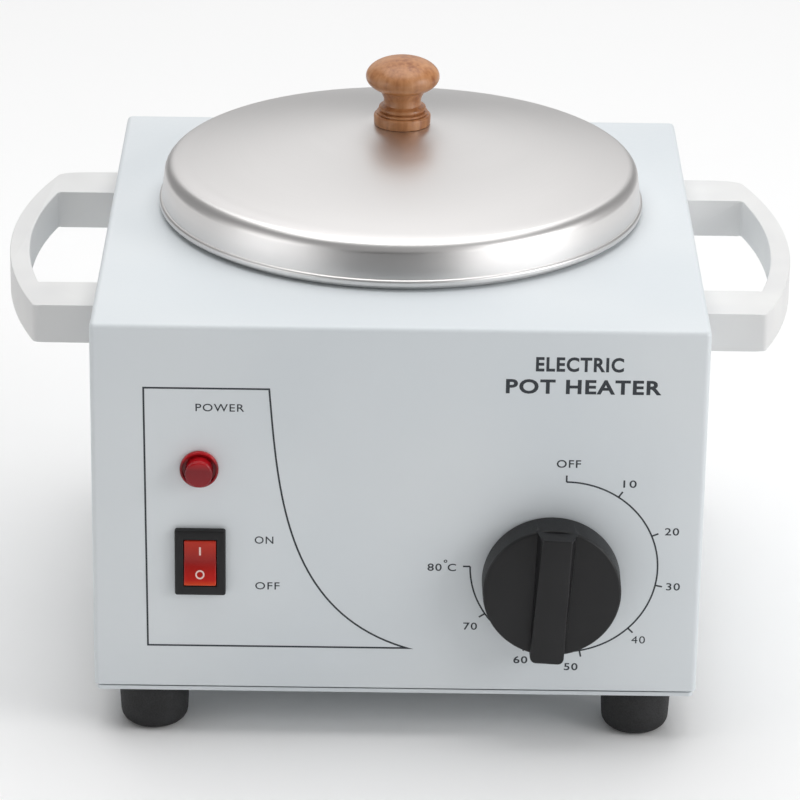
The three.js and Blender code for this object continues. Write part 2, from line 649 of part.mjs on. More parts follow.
function rocker() {
  const { sideGap, endGap, proud, dip, pin } = ROCKER;
  const [width, half] = [windowWidth - 2 * sideGap, windowTall / 2 - endGap];
  const outline = polygon([
    [-half - 0.1, -0.5], [-3, -4], [3, -4], [half + 0.1, -0.5],
    [half, proud], [0, proud - dip], [-half, proud],
  ]);
  const key = prism(outline, -width / 2, width / 2, alongX);
  return key.add(rod(pin, -pinReach, pinReach, ROUND.tiny).rotate([0, 90, 0]));
}

add(switchAxis, 'switch_housing', switchHousing(), blackPlastic);
add(switchAxis, 'rocker', rocker(), redPlastic, [0, 0, 0], [THREE.MathUtils.degToRad(-ROCKER.tilt), 0, 0]);
for (const [name, row] of [['lower', -1], ['middle', 0], ['upper', 1]]) {
  const blade = block(BLADE.width, BLADE.thickness, BLADE.length, 0, 0, -BLADE.length);
  add(switchAxis, `switch_terminal_${name}`, blade, brass, [0, row * BLADE.pitch, -SWITCH.depth]);
}

// ---- pilot lamp --------------------------------------------------------------------------------

const lampAxis = group(frontPanel, [lampX, LAMP.height, 0]);
const lensTop = LAMP.flange + LAMP.lens;
add(lampAxis, 'lamp_lens', turned([
  [0, -LAMP.barrel], [LAMP.barrelRadius, -LAMP.barrel], [LAMP.barrelRadius, 0], [LAMP.flangeRadius, 0],
  [LAMP.flangeRadius, LAMP.flange - 0.4], [LAMP.flangeRadius - 0.4, LAMP.flange],
  [LAMP.lensRadius, LAMP.flange],
  [LAMP.lensRadius - 0.2, lensTop - 0.6], [LAMP.lensRadius - 0.8, lensTop], [0, lensTop],
], ROUND.lamp), redPlastic);
const lampNut = hexNut(LAMP.barrelRadius + FIT.pin, LAMP.nutRadius, LAMP.nut);
add(lampAxis, 'lamp_nut', lampNut, nylon, [0, 0, -CASE.sheet]);
const capRadius = LAMP.barrelRadius - 0.4;
const lampCap = turned([[0, -LAMP.cap], [LAMP.capTip, -LAMP.cap], [capRadius, -1], [capRadius, 0], [0, 0]]);
add(lampAxis, 'lamp_cap', lampCap, nylon, [0, 0, -LAMP.barrel]);

// ---- cord gland --------------------------------------------------------------------------------

const glandAxis = group(warmer, [glandX, back, caseBottom + GLAND.height], [-Math.PI / 2, 0, 0]);

function cordGland() {
  const { boreRadius, threadRadius, thread, hexRadius, hex, domeRadius, tipRadius, reach } = GLAND;
  const dome = turned([
    [boreRadius, -thread], [threadRadius, -thread], [threadRadius, 0.5], [domeRadius, 0.5],
    [domeRadius, reach - 5], [tipRadius, reach], [boreRadius, reach],
  ], ROUND.coarse);
  const collar = rod(hexRadius, 0, hex, 6).subtract(rod(boreRadius + 1, -1, hex + 1));
  return dome.add(collar);
}

add(glandAxis, 'cord_gland', cordGland(), nylon);
const glandNut = hexNut(GLAND.threadRadius + FIT.pin, GLAND.hexRadius, GLAND.nut);
add(glandAxis, 'gland_nut', glandNut, nylon, [0, 0, -CASE.sheet]);

// ---- terminal block, earth screw, sensor bulb and wires ----------------------------------------

function terminalBlock() {
  const { width, depth, height, ways, wayRadius } = BLOCK;
  let body = block(width, depth, height);
  const pitch = width / ways;
  for (let i = 0; i < ways; i += 1) {
    const x = (i - (ways - 1) / 2) * pitch;
    const way = rod(wayRadius, -depth, depth, ROUND.tiny).rotate([90, 0, 0]);
    body = body.subtract(moved(way, x, 0, height * 0.4));
  }
  return body;
}

add(warmer, 'terminal_block', terminalBlock(), ceramic, [BLOCK.x, blockY, baseTop]);
add(warmer, 'earth_screw', panHead(EARTH_SCREW.reach), brass, [earth.x, earth.y, baseTop]);

function tube(points, radius, steps) {
  const path = new THREE.CatmullRomCurve3(points.map((p) => new THREE.Vector3(...p)), false, 'centripetal');
  const section = new THREE.Shape();
  section.absarc(0, 0, radius, 0, Math.PI * 2);
  const geometry = new THREE.ExtrudeGeometry(section, {
    extrudePath: path, steps, bevelEnabled: false, curveSegments: WIRE.sides,
  });
  return solidOf(geometry);
}

const bulbZ = wellBottom - BULB.radius - FIT.slip;
const bulbY = POT.axisY + BULB.offset;
const bulb = rod(BULB.radius, -BULB.length / 2, BULB.length / 2, ROUND.tiny).rotate([0, 90, 0]);
const bulbEnd = BULB.length / 2;
const exitX = knobX - 9;
const exitY = front + CASE.sheet + THERMOSTAT.plate + THERMOSTAT.depth;
const exitZ = caseBottom + KNOB.height + 4;
add(warmer, 'sensor_bulb', moved(bulb, 0, bulbY, bulbZ).add(tube([
  [bulbEnd - 1, bulbY, bulbZ], [bulbEnd + 4, bulbY, bulbZ - 1], [bulbEnd + 9, bulbY - 10, bulbZ - 6],
  [exitX + 2, exitY + 14, exitZ], [exitX, exitY + FIT.slip, exitZ],
], BULB.tube, WIRE.steps)), brass);

const clipReach = BULB.radius + FIT.slip;
const clipWall = 0.8;
const clipDrop = 2 * clipReach + clipWall;
let clip = block(8, 4 * clipReach, clipDrop, 0, 0, -clipDrop)
  .subtract(block(10, 2 * clipReach, 2 * clipReach, 0, 0, -2 * clipReach));
for (const sign of [-1, 1]) {
  const earMiddle = sign * (1.5 * clipReach + clipWall);
  clip = clip.subtract(block(10, clipReach, 3 * clipReach, 0, earMiddle, -clipWall - 3 * clipReach));
}
add(warmer, 'bulb_clip', clip, zincSteel, [0, bulbY, wellBottom]);

const leadGap = 0.7;
const switchBack = front + SWITCH.depth + BLADE.length;
const thermostatBack = front + CASE.sheet + THERMOSTAT.plate + THERMOSTAT.depth + BLADE.length;
const knobZ = caseBottom + KNOB.height;
const switchZ = caseBottom + SWITCH.height;
const blockFront = blockY - BLOCK.depth / 2;
const wayZ = baseTop + BLOCK.height * 0.4;
const wayPitch = BLOCK.width / BLOCK.ways;
const postTip = (i) => [
  postPlaces[i].x * (heaterOuter + POST.reach + 2 * leadGap),
  POT.axisY + postPlaces[i].y * (heaterOuter + POST.reach + 2 * leadGap),
  postZ,
];

add(warmer, 'wire_line', tube([
  [switchX, switchBack + leadGap, switchZ - BLADE.pitch], [switchX + 1, switchBack + 8, switchZ - 9],
  [switchX + 20, -30, caseBottom + 8], [BLOCK.x - wayPitch - 12, blockFront - 26, caseBottom + 6],
  [BLOCK.x - wayPitch, blockFront - 8, wayZ], [BLOCK.x - wayPitch, blockFront - FIT.slip, wayZ],
], WIRE.radius, WIRE.steps), rubber);
add(warmer, 'wire_switched', tube([
  [switchX, switchBack + leadGap, switchZ], [switchX + 5, switchBack + 7, switchZ - 2],
  [0, switchBack + 8, caseBottom + 20], [knobX - 26, thermostatBack + 6, knobZ - 4],
  [knobX - 9, thermostatBack + 7, knobZ + 8], [knobX - 8, thermostatBack + leadGap, knobZ + 10],
], WIRE.radius, WIRE.steps), rubber);
add(warmer, 'wire_heater_live', tube([
  [knobX + 8, thermostatBack + leadGap, knobZ + 10], [knobX + 7, thermostatBack + 6, knobZ + 14],
  [knobX - 12, thermostatBack, knobZ + 21], [postTip(1)[0] + 3, postTip(1)[1] - 6, postTip(1)[2] - 1],
  postTip(1),
], WIRE.radius, WIRE.steps), rubber);
add(warmer, 'wire_heater_neutral', tube([
  postTip(0), [postTip(0)[0] - 1, postTip(0)[1] - 5, postTip(0)[2] - 5],
  [postTip(0)[0] - 4, postTip(0)[1] + 6, postTip(0)[2] - 26], [10, 6, caseBottom + 16],
  [BLOCK.x, blockFront - 10, wayZ + 1], [BLOCK.x, blockFront - FIT.slip, wayZ],
], WIRE.radius, WIRE.steps), rubber);
add(warmer, 'wire_lamp', tube([
  [lampX, front + LAMP.barrel + LAMP.cap + leadGap, caseBottom + LAMP.height],
  [lampX, front + LAMP.barrel + LAMP.cap + 6, caseBottom + LAMP.height - 4],
  [lampX, switchBack + 7, switchZ + BLADE.pitch + 5], [lampX, switchBack + leadGap, switchZ + BLADE.pitch],
], WIRE.radius, WIRE.steps), rubber);
add(warmer, 'wire_earth', tube([
  [earth.x, earth.y - SCREW.head - leadGap, baseTop + WIRE.radius + FIT.slip],
  [earth.x - 2, blockFront - 7, baseTop + 4], [BLOCK.x + wayPitch + 3, blockFront - 10, wayZ - 1],
  [BLOCK.x + wayPitch, blockFront - 5, wayZ], [BLOCK.x + wayPitch, blockFront - FIT.slip, wayZ],
], WIRE.radius, WIRE.steps), rubber);

export default warmer;
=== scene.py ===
import json
import math

import bmesh
import bpy
from mathutils import Matrix, Vector
from mathutils.geometry import interpolate_bezier


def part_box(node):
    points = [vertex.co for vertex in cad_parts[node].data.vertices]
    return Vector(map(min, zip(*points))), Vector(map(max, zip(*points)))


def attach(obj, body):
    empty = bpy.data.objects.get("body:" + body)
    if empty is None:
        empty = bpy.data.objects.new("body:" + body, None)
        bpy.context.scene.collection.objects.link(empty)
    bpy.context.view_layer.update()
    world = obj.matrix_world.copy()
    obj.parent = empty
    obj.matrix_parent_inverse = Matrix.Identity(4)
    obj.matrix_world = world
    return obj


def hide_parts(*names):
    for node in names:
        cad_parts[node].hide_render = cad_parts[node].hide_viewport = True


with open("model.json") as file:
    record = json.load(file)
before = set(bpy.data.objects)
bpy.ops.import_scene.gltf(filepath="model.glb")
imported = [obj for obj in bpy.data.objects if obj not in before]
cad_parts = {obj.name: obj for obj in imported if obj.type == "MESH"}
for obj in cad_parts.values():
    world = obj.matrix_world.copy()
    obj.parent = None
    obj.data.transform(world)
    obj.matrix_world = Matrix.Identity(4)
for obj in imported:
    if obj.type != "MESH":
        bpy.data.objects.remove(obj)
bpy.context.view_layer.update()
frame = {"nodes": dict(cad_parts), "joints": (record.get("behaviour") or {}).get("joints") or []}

mm = 0.001
touch = 0.01 * mm  # nearer than this counts as the same place
print("frame loaded:", len(frame["nodes"]), "nodes")

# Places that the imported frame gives.
caseLow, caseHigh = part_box("case_shell")
potLow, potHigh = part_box("wax_pot")
lidLow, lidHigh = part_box("lid")
woodLow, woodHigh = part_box("lid_knob")
wellLow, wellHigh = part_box("heating_well")
potAxis = Vector(((lidLow.x + lidHigh.x) / 2, (lidLow.y + lidHigh.y) / 2, 0))
joints = {joint["name"]: joint for joint in frame["joints"]}
dialPivot = Vector(joints["thermostat_dial"]["pos_m"])
rockerPivot = Vector(joints["rocker_switch"]["pos_m"])
panelY = caseLow.y


def middleOf(node):
    low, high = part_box(node)
    return (low + high) / 2


def onPanel(x, z, out=0.0):  # local x stays, local y is up, local z comes out of the front panel
    return Matrix.Translation((x, panelY - out, z)) @ Matrix.Rotation(math.pi / 2, 4, "X")


# ---- camera and light

# Place, lens and sensor in millimetres, turns in degrees, reach in metres.
viewFrom = {"place": (-5.36, -1205.34, 580.83), "pitch": 22.911, "yaw": 0.283, "roll": 0.867,
            "lens": 187.16, "sensor": 36.0, "reach": 20.0}


def makeCamera():
    data = bpy.data.cameras.new("camera")
    data.lens = viewFrom["lens"]
    data.sensor_width = viewFrom["sensor"]
    data.clip_end = viewFrom["reach"]
    camera = bpy.data.objects.new("camera", data)
    turn = Matrix.Rotation(math.radians(-viewFrom["yaw"]), 4, "Z")
    tip = Matrix.Rotation(math.radians(90 - viewFrom["pitch"]), 4, "X")
    lean = Matrix.Rotation(math.radians(viewFrom["roll"]), 4, "Z")
    camera.matrix_world = Matrix.Translation(Vector(viewFrom["place"]) * mm) @ turn @ tip @ lean
    bpy.context.scene.collection.objects.link(camera)
    bpy.context.scene.camera = camera


studio = {
    "sky": 0.3,
    "softboxes": [  # name, place, aimed at, width, depth, watts
        ("top", (0.0, 0.15, 1.55), (0, 0, 0.1), 1.7, 1.4, 17.0),
        ("right", (1.5, -0.7, 0.75), (0, 0, 0.12), 0.9, 0.9, 10.5),
        ("left", (-1.5, -0.6, 0.7), (0, 0, 0.12), 0.9, 0.9, 1.2),
        ("back", (0.0, 1.9, 1.35), (0, 0, 0.15), 2.8, 2.1, 9.6),
    ],
    "floorHalf": 6.0,
    "cards": {"radius": 0.75, "height": 0.36, "steps": 24},
    "cardRow": [  # name, from, to in degrees either side of the front, glow
        ("white_card_left", -78.0, -40.0, 0.75),
        ("black_card", -34.0, 26.0, 0.0),
        ("white_card_right", 31.0, 82.0, 1.15),
    ],
}


def makeStudio():
    scene = bpy.context.scene
    scene.view_settings.view_transform = "Standard"
    world = bpy.data.worlds.new("studio")
    world.use_nodes = True
    sky = studio["sky"]
    world.node_tree.nodes["Background"].inputs["Color"].default_value = (sky, sky, sky, 1)
    scene.world = world
    for name, place, aim, width, depth, watts in studio["softboxes"]:
        light = bpy.data.lights.new("softbox_" + name, "AREA")
        light.shape = "RECTANGLE"
        light.size, light.size_y, light.energy = width, depth, watts
        softbox = bpy.data.objects.new("softbox_" + name, light)
        softbox.location = place
        softbox.rotation_euler = (Vector(aim) - Vector(place)).to_track_quat("-Z", "Y").to_euler()
        scene.collection.objects.link(softbox)


# ---- materials

def linearColour(hexCode):
    channels = [int(hexCode[i:i + 2], 16) / 255 for i in (1, 3, 5)]
    return tuple(c / 12.92 if c <= 0.04045 else ((c + 0.055) / 1.055) ** 2.4 for c in channels) + (1.0,)


def addNode(tree, kind, settings=None, links=None):
    node = tree.nodes.new(kind)
    for key, value in (settings or {}).items():
        if key == "stops":
            ramp = node.color_ramp
            while len(ramp.elements) < len(value):
                ramp.elements.new(0.5)
            for element, (at, hexCode) in zip(ramp.elements, value):
                element.position, element.color = at, linearColour(hexCode)
        elif isinstance(key, int) or key in node.inputs:
            node.inputs[key].default_value = value
        else:
            setattr(node, key, value)
    for key, source in (links or {}).items():
        tree.links.new(source, node.inputs[key])
    return node


def newFinish(name, hexCode, **sockets):
    material = bpy.data.materials.new(name)
    material.use_nodes = True
    tree = material.node_tree
    shader = tree.nodes["Principled BSDF"]
    shader.inputs["Base Color"].default_value = linearColour(hexCode)
    for key, value in sockets.items():
        shader.inputs[key.replace("_", " ")].default_value = value
    return material, tree, shader


def grain(tree, size, detail=2.0, stretch=(1, 1, 1)):
    # Noise on Object coordinates whose lumps are about size millimetres across.
    coords = addNode(tree, "ShaderNodeTexCoord")
    placed = addNode(tree, "ShaderNodeMapping", {"Scale": stretch}, {"Vector": coords.outputs["Object"]})
    return addNode(tree, "ShaderNodeTexNoise", {"Scale": 1 / (size * mm), "Detail": detail},
                   {"Vector": placed.outputs["Vector"]})


def roughen(tree, shader, source, low, high):
    settings = {"From Min": 0.3, "From Max": 0.7, "To Min": low, "To Max": high}
    spread = addNode(tree, "ShaderNodeMapRange", settings, {"Value": source})
    tree.links.new(spread.outputs["Result"], shader.inputs["Roughness"])


def tint(tree, shader, source, *stops):
    ramp = addNode(tree, "ShaderNodeValToRGB", {"stops": stops}, {"Fac": source})
    tree.links.new(ramp.outputs["Color"], shader.inputs["Base Color"])


def relief(tree, shader, source, height):
    bump = addNode(tree, "ShaderNodeBump", {"Strength": 1.0, "Distance": height * mm}, {"Height": source})
    tree.links.new(bump.outputs["Normal"], shader.inputs["Normal"])


def calculate(tree, operation, first, second):  # second is a number or the output of a node
    if isinstance(second, float):
        node = addNode(tree, "ShaderNodeMath", {"operation": operation, 1: second}, {0: first})
    else:
        node = addNode(tree, "ShaderNodeMath", {"operation": operation}, {0: first, 1: second})
    return node.outputs["Value"]


def powderCoat():
    # Polyester powder coat, sprayed and baked on steel: an even semi-gloss with a faint orange peel.
    material, tree, shader = newFinish("baked_powder_coat", "#DEE3E6", IOR=1.5)
    shade = grain(tree, 55, 1.0)
    tint(tree, shader, shade.outputs["Fac"], (0.3, "#DAE0E4"), (0.7, "#E0E5E8"))
    peel = grain(tree, 1.6, 1.5)
    roughen(tree, shader, peel.outputs["Fac"], 0.36, 0.46)
    relief(tree, shader, peel.outputs["Fac"], 0.012)
    return material


def spunMetal(name, hexCode, lathe, lines, low, high, depth):
    # Metal turned over a former: fine rings round the axis, seen as a soft sheen that follows the turning.
    material, tree, shader = newFinish(name, hexCode, Metallic=1.0, Anisotropic=0.45)
    coords = addNode(tree, "ShaderNodeTexCoord")
    centred = addNode(tree, "ShaderNodeMapping", {"Location": (-lathe.x, -lathe.y, 0)},
                      {"Vector": coords.outputs["Object"]})
    parts = addNode(tree, "ShaderNodeSeparateXYZ", links={"Vector": centred.outputs["Vector"]})
    flat = addNode(tree, "ShaderNodeCombineXYZ", links={"X": parts.outputs["X"], "Y": parts.outputs["Y"]})
    radius = addNode(tree, "ShaderNodeVectorMath", {"operation": "LENGTH"}, {0: flat.outputs["Vector"]})
    rise = calculate(tree, "ADD", radius.outputs["Value"], parts.outputs["Z"])
    angle = calculate(tree, "ARCTAN2", parts.outputs["Y"], parts.outputs["X"])
    slow = calculate(tree, "MULTIPLY", angle, lines * mm * 0.6)
    along = addNode(tree, "ShaderNodeCombineXYZ", links={"X": rise, "Y": slow})
    rings = addNode(tree, "ShaderNodeTexNoise", {"Scale": 1 / (lines * mm), "Detail": 3.0},
                    {"Vector": along.outputs["Vector"]})
    roughen(tree, shader, rings.outputs["Fac"], low, high)
    relief(tree, shader, rings.outputs["Fac"], depth)
    turning = addNode(tree, "ShaderNodeTangent", {"direction_type": "RADIAL", "axis": "Z"})
    tree.links.new(turning.outputs["Tangent"], shader.inputs["Tangent"])
    return material


def turnedBeech():
    # Beech turned on a lathe and lacquered: warm long grain up the knob, short dark flecks, a soft shine.
    material, tree, shader = newFinish("turned_beech", "#C49068", IOR=1.48, Coat_Weight=0.25,
                                       Coat_Roughness=0.25)
    fibre = grain(tree, 1.3, 4.0, (1, 1, 0.16))
    figure = grain(tree, 7, 2.0, (1, 1, 0.4))
    half = calculate(tree, "MULTIPLY", figure.outputs["Fac"], 0.55)
    blend = addNode(tree, "ShaderNodeMath", {"operation": "MULTIPLY_ADD", 1: 0.45},
                    {0: fibre.outputs["Fac"], 2: half})
    tint(tree, shader, blend.outputs["Value"], (0.34, "#94592F"), (0.5, "#B67C4E"), (0.68, "#C99265"))
    roughen(tree, shader, fibre.outputs["Fac"], 0.32, 0.46)
    relief(tree, shader, fibre.outputs["Fac"], 0.02)
    return material


def mouldedPlastic(name, dark, light, low, high, texture=0.5, depth=0.008, **sockets):
    # Injection-moulded plastic with a fine spark-eroded texture from its mould, drawn coarse enough to show.
    material, tree, shader = newFinish(name, light, **sockets)
    shade = grain(tree, 18, 1.0)
    tint(tree, shader, shade.outputs["Fac"], (0.3, dark), (0.7, light))
    skin = grain(tree, texture, 2.0)
    roughen(tree, shader, skin.outputs["Fac"], low, high)
    relief(tree, shader, skin.outputs["Fac"], depth)
    return material


def mouldedRubber():
    # Black nitrile rubber: dull, with a fine matt tooth and a little grey bloom.
    material, tree, shader = newFinish("black_nitrile_rubber", "#28282A", IOR=1.52)
    bloom = grain(tree, 5, 3.0)
    tint(tree, shader, bloom.outputs["Fac"], (0.35, "#161617"), (0.7, "#1F1F21"))
    tooth = grain(tree, 0.45, 2.0)
    roughen(tree, shader, tooth.outputs["Fac"], 0.62, 0.82)
    relief(tree, shader, tooth.outputs["Fac"], 0.02)
    return material


def screwMetal(name, hexCode, warm, low=0.28, high=0.45, spot=1.4):
    # Plated or plain metal parts: bright, with a cloudy drift of colour in the plating.
    material, tree, shader = newFinish(name, hexCode, Metallic=1.0)
    cloud = grain(tree, spot * 3, 2.0)
    tint(tree, shader, cloud.outputs["Fac"], (0.35, warm), (0.65, hexCode))
    scuff = grain(tree, spot, 3.0)
    roughen(tree, shader, scuff.outputs["Fac"], low, high)
    return material


def fibrous(name, dark, light, thread, stretch, low, high, depth):
    # Pressed or laid fibres: ceramic wool, mica paper or fired steatite, dull and slightly uneven.
    material, tree, shader = newFinish(name, light)
    strands = grain(tree, thread, 4.0, stretch)
    tint(tree, shader, strands.outputs["Fac"], (0.35, dark), (0.65, light))
    roughen(tree, shader, strands.outputs["Fac"], low, high)
    relief(tree, shader, strands.outputs["Fac"], depth)
    return material


def redLens(name, middle, tall, stops, low, high):
    # Red polycarbonate with a dark socket behind it: an opaque gloss in its own red. The red is painted
    # lighter and darker by height: painted light at the lit ends and painted shade between, in place of light
    # shining through the plastic.
    material, tree, shader = newFinish(name, stops[0][1], IOR=1.58, Specular_IOR_Level=0.28)
    coords = addNode(tree, "ShaderNodeTexCoord")
    parts = addNode(tree, "ShaderNodeSeparateXYZ", links={"Vector": coords.outputs["Object"]})
    reach = tall / 2 * mm
    height = addNode(tree, "ShaderNodeMapRange", {"From Min": middle - reach, "From Max": middle + reach},
                     {"Value": parts.outputs["Z"]})
    # Painted light and shade: the ramp follows height up the piece, not a colour the plastic has.
    tint(tree, shader, height.outputs["Result"], *stops)
    skin = grain(tree, 0.6, 1.0)
    roughen(tree, shader, skin.outputs["Fac"], low, high)
    return material


def panelInk(name, dark, light):
    # Screen-printed ink: a thin flat film, a little uneven where the mesh of the screen let it through.
    material, tree, shader = newFinish(name, light, IOR=1.5)
    weave = grain(tree, 0.5, 2.0)
    tint(tree, shader, weave.outputs["Fac"], (0.3, dark), (0.7, light))
    roughen(tree, shader, weave.outputs["Fac"], 0.5, 0.62)
    return material


def floorPaper():
    # White studio paper.
    material, tree, shader = newFinish("studio_paper", "#FBFBFB", Specular_IOR_Level=0.1)
    fibre = grain(tree, 3, 2.0)
    roughen(tree, shader, fibre.outputs["Fac"], 0.85, 0.95)
    return material


finishes = {
    "powder_coated_steel": powderCoat(),
    "lid_aluminium": spunMetal("spun_aluminium", "#DEDCDB", potAxis, 0.4, 0.33, 0.39, 0.0012),
    "pot_aluminium": spunMetal("drawn_aluminium", "#C9C9C9", potAxis, 0.8, 0.3, 0.4, 0.003),
    "turned_wood": turnedBeech(),
    "white_plastic": mouldedPlastic("white_polypropylene", "#E0E0E0", "#E7E7E6", 0.42, 0.52, IOR=1.49),
    "black_plastic": mouldedPlastic("black_abs", "#101012", "#161618", 0.4, 0.5, 0.4, 0.01, IOR=1.53,
                                    Specular_IOR_Level=0.34),
    "black_nylon": mouldedPlastic("moulded_nylon", "#131314", "#1A1A1B", 0.42, 0.56, 0.5, 0.012, IOR=1.53),
    "black_rubber": mouldedRubber(),
    "zinc_steel": screwMetal("zinc_plated_steel", "#C2C4C6", "#B7B6AC"),
    "brass": screwMetal("terminal_brass", "#C4A257", "#B08C45"),
    "mica_heater": fibrous("mica_paper", "#8F7247", "#B4935F", 3.0, (1, 1, 1), 0.5, 0.75, 0.05),
    "ceramic_fibre": fibrous("ceramic_wool", "#DDD6C6", "#EFEADF", 1.2, (1, 1, 3), 0.9, 1.0, 0.3),
    "ceramic": fibrous("glazed_steatite", "#E0DBCE", "#EEEAE0", 2.0, (1, 1, 1), 0.28, 0.42, 0.01),
    # Lens: painted highlight on its lit top side, painted shade lower down.
    "red_lens": redLens("red_polycarbonate_lens", middleOf("lamp_lens").z, 11.4,
                        ((0.12, "#8E111C"), (0.62, "#7E0F19"), (0.85, "#B8161F")), 0.1, 0.18),
    # Rocker: painted glow at its lower end, painted shade across the middle, painted light near its top edge.
    "red_rocker": redLens("red_polycarbonate_rocker", rockerPivot.z, 13.8,
                          ((0.04, "#DA4A1A"), (0.16, "#C01A10"), (0.55, "#98110C"), (0.95, "#B92A14")),
                          0.3, 0.4),
    "wire_insulation": mouldedPlastic("silicone_sleeve", "#8C4B2C", "#A05A38", 0.5, 0.65, 0.8, 0.02,
                                      IOR=1.41),
}
ink = panelInk("dark_screen_ink", "#262B31", "#343A41")
markInk = panelInk("pale_marking_ink", "#E6C4BE", "#F2D8D2")
print("finishes made:", len(finishes) + 2)


# ---- making pieces

# Vertices nearer than a weld, in millimetres, are one. Edges bent by more than sharp, in degrees, stay sharp.
making = {"weldSpun": 0.001, "weldPiece": 0.0005, "sharp": 32.0}


def placePiece(name, bm, slotName, body, replaced=(), at=None, finish=None):
    if at is not None:
        bmesh.ops.transform(bm, matrix=at, verts=bm.verts)
    bmesh.ops.remove_doubles(bm, verts=bm.verts, dist=making["weldPiece"] * mm)
    bmesh.ops.recalc_face_normals(bm, faces=bm.faces)
    mesh = bpy.data.meshes.new(name)
    bm.to_mesh(mesh)
    bm.free()
    mesh.materials.append(finish or finishes[slotName])
    mesh.shade_smooth()
    mesh.set_sharp_from_angle(angle=math.radians(making["sharp"]))
    piece = bpy.data.objects.new(name, mesh)
    bpy.context.scene.collection.objects.link(piece)
    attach(piece, body)
    if replaced:
        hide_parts(*replaced)


def arc(centre, size, start, end, count):  # points on part of an ellipse, degrees from +x
    points = []
    for i in range(count + 1):
        angle = math.radians(start + (end - start) * i / count)
        points.append((centre[0] + size[0] * math.cos(angle), centre[1] + size[1] * math.sin(angle)))
    return points


def drawOutline(bm, outline, closed, segments=5):
    # Corners are (x, y) or (x, y, rounding) in millimetres, drawn in the plane y = 0 as x across and z up.
    corners = [bm.verts.new((point[0] * mm, 0, point[1] * mm)) for point in outline]
    ends = corners[1:] + corners[:1] if closed else corners[1:]
    for first, second in zip(corners, ends):
        bm.edges.new((first, second))
    for corner, point in zip(corners, outline):
        if len(point) > 2:
            bmesh.ops.bevel(bm, geom=[corner], offset=point[2] * mm, offset_type="OFFSET", segments=segments,
                            profile=0.5, affect="VERTICES", material=-1)


def turnedPiece(outline, steps, segments=5):
    bm = bmesh.new()
    drawOutline(bm, outline, outline[0][0] > 0, segments)
    bmesh.ops.spin(bm, geom=bm.verts[:] + bm.edges[:], cent=(0, 0, 0), axis=(0, 0, 1), dvec=(0, 0, 0),
                   angle=2 * math.pi, steps=steps, use_merge=True)
    bmesh.ops.remove_doubles(bm, verts=bm.verts, dist=making["weldSpun"] * mm)
    return bm


def filledOutline(outline, segments=5):  # a flat face in x and y, at z = 0
    bm = bmesh.new()
    drawOutline(bm, outline, True, segments)
    bmesh.ops.rotate(bm, cent=(0, 0, 0), matrix=Matrix.Rotation(-math.pi / 2, 3, "X"), verts=bm.verts)
    bmesh.ops.contextual_create(bm, geom=bm.edges[:])
    return bm


def vertsOf(grown):
    return [item for item in grown if isinstance(item, bmesh.types.BMVert)]


def thicken(bm, thickness):  # extrudes flat faces up from z = 0
    grown = bmesh.ops.extrude_face_region(bm, geom=bm.faces[:])["geom"]
    bmesh.ops.translate(bm, vec=(0, 0, thickness * mm), verts=vertsOf(grown))


def slab(outline, thickness, segments=5):
    bm = filledOutline(outline, segments)
    thicken(bm, thickness)
    bmesh.ops.recalc_face_normals(bm, faces=bm.faces)
    return bm


def softenEdges(bm, radius, segments=3, angle=30, choose=lambda edge: True):
    edges = [edge for edge in bm.edges if len(edge.link_faces) == 2
             and edge.calc_face_angle(0) > math.radians(angle) and choose(edge)]
    bmesh.ops.bevel(bm, geom=edges, offset=radius * mm, offset_type="OFFSET", segments=segments, profile=0.5,
                    affect="EDGES", clamp_overlap=True, material=-1)


def combine(bm, other, at=None):  # adds one bmesh to another
    mesh = bpy.data.meshes.new("part")
    other.to_mesh(mesh)
    other.free()
    if at is not None:
        mesh.transform(at)
    bm.from_mesh(mesh)
    bpy.data.meshes.remove(mesh)


def cutOrJoin(bm, other, operation):
    objects = []
    for part in (bm, other):
        bmesh.ops.recalc_face_normals(part, faces=part.faces)
        mesh = bpy.data.meshes.new("blank")
        part.to_mesh(mesh)
        part.free()
        piece = bpy.data.objects.new("blank", mesh)
        bpy.context.scene.collection.objects.link(piece)
        objects.append(piece)
    boolean = objects[0].modifiers.new("boolean", "BOOLEAN")
    boolean.operation = operation
    boolean.solver = "EXACT"
    boolean.object = objects[1]
    bpy.context.view_layer.update()
    made = bpy.data.meshes.new_from_object(objects[0].evaluated_get(bpy.context.evaluated_depsgraph_get()))
    result = bmesh.new()
    result.from_mesh(made)
    for piece in objects:
        spent = piece.data
        bpy.data.objects.remove(piece)
        bpy.data.meshes.remove(spent)
    bpy.data.meshes.remove(made)
    return result


# ---- folded steel case

case = {"bend": 1.7, "bendSteps": 6, "sheet": 1.0, "returns": 10.0, "topHole": 68.1, "topSteps": 160,
        "switchHole": (13.0, 10.0, 19.0), "lampHole": 5.1, "shaftHole": 4.2, "glandHole": 6.3,
        "screwHole": 2.1, "screwSteps": 24}


def roundHole(radius, at, along="Z", steps=64, depth=12):
    bm = bmesh.new()
    bmesh.ops.create_cone(bm, cap_ends=True, segments=steps, radius1=radius * mm, radius2=radius * mm,
                          depth=depth * mm)
    quarter = math.pi / 2
    turn = {"Z": Matrix(), "X": Matrix.Rotation(quarter, 4, "Y"), "Y": Matrix.Rotation(quarter, 4, "X")}
    bmesh.ops.transform(bm, matrix=Matrix.Translation(at) @ turn[along], verts=bm.verts)
    return bm


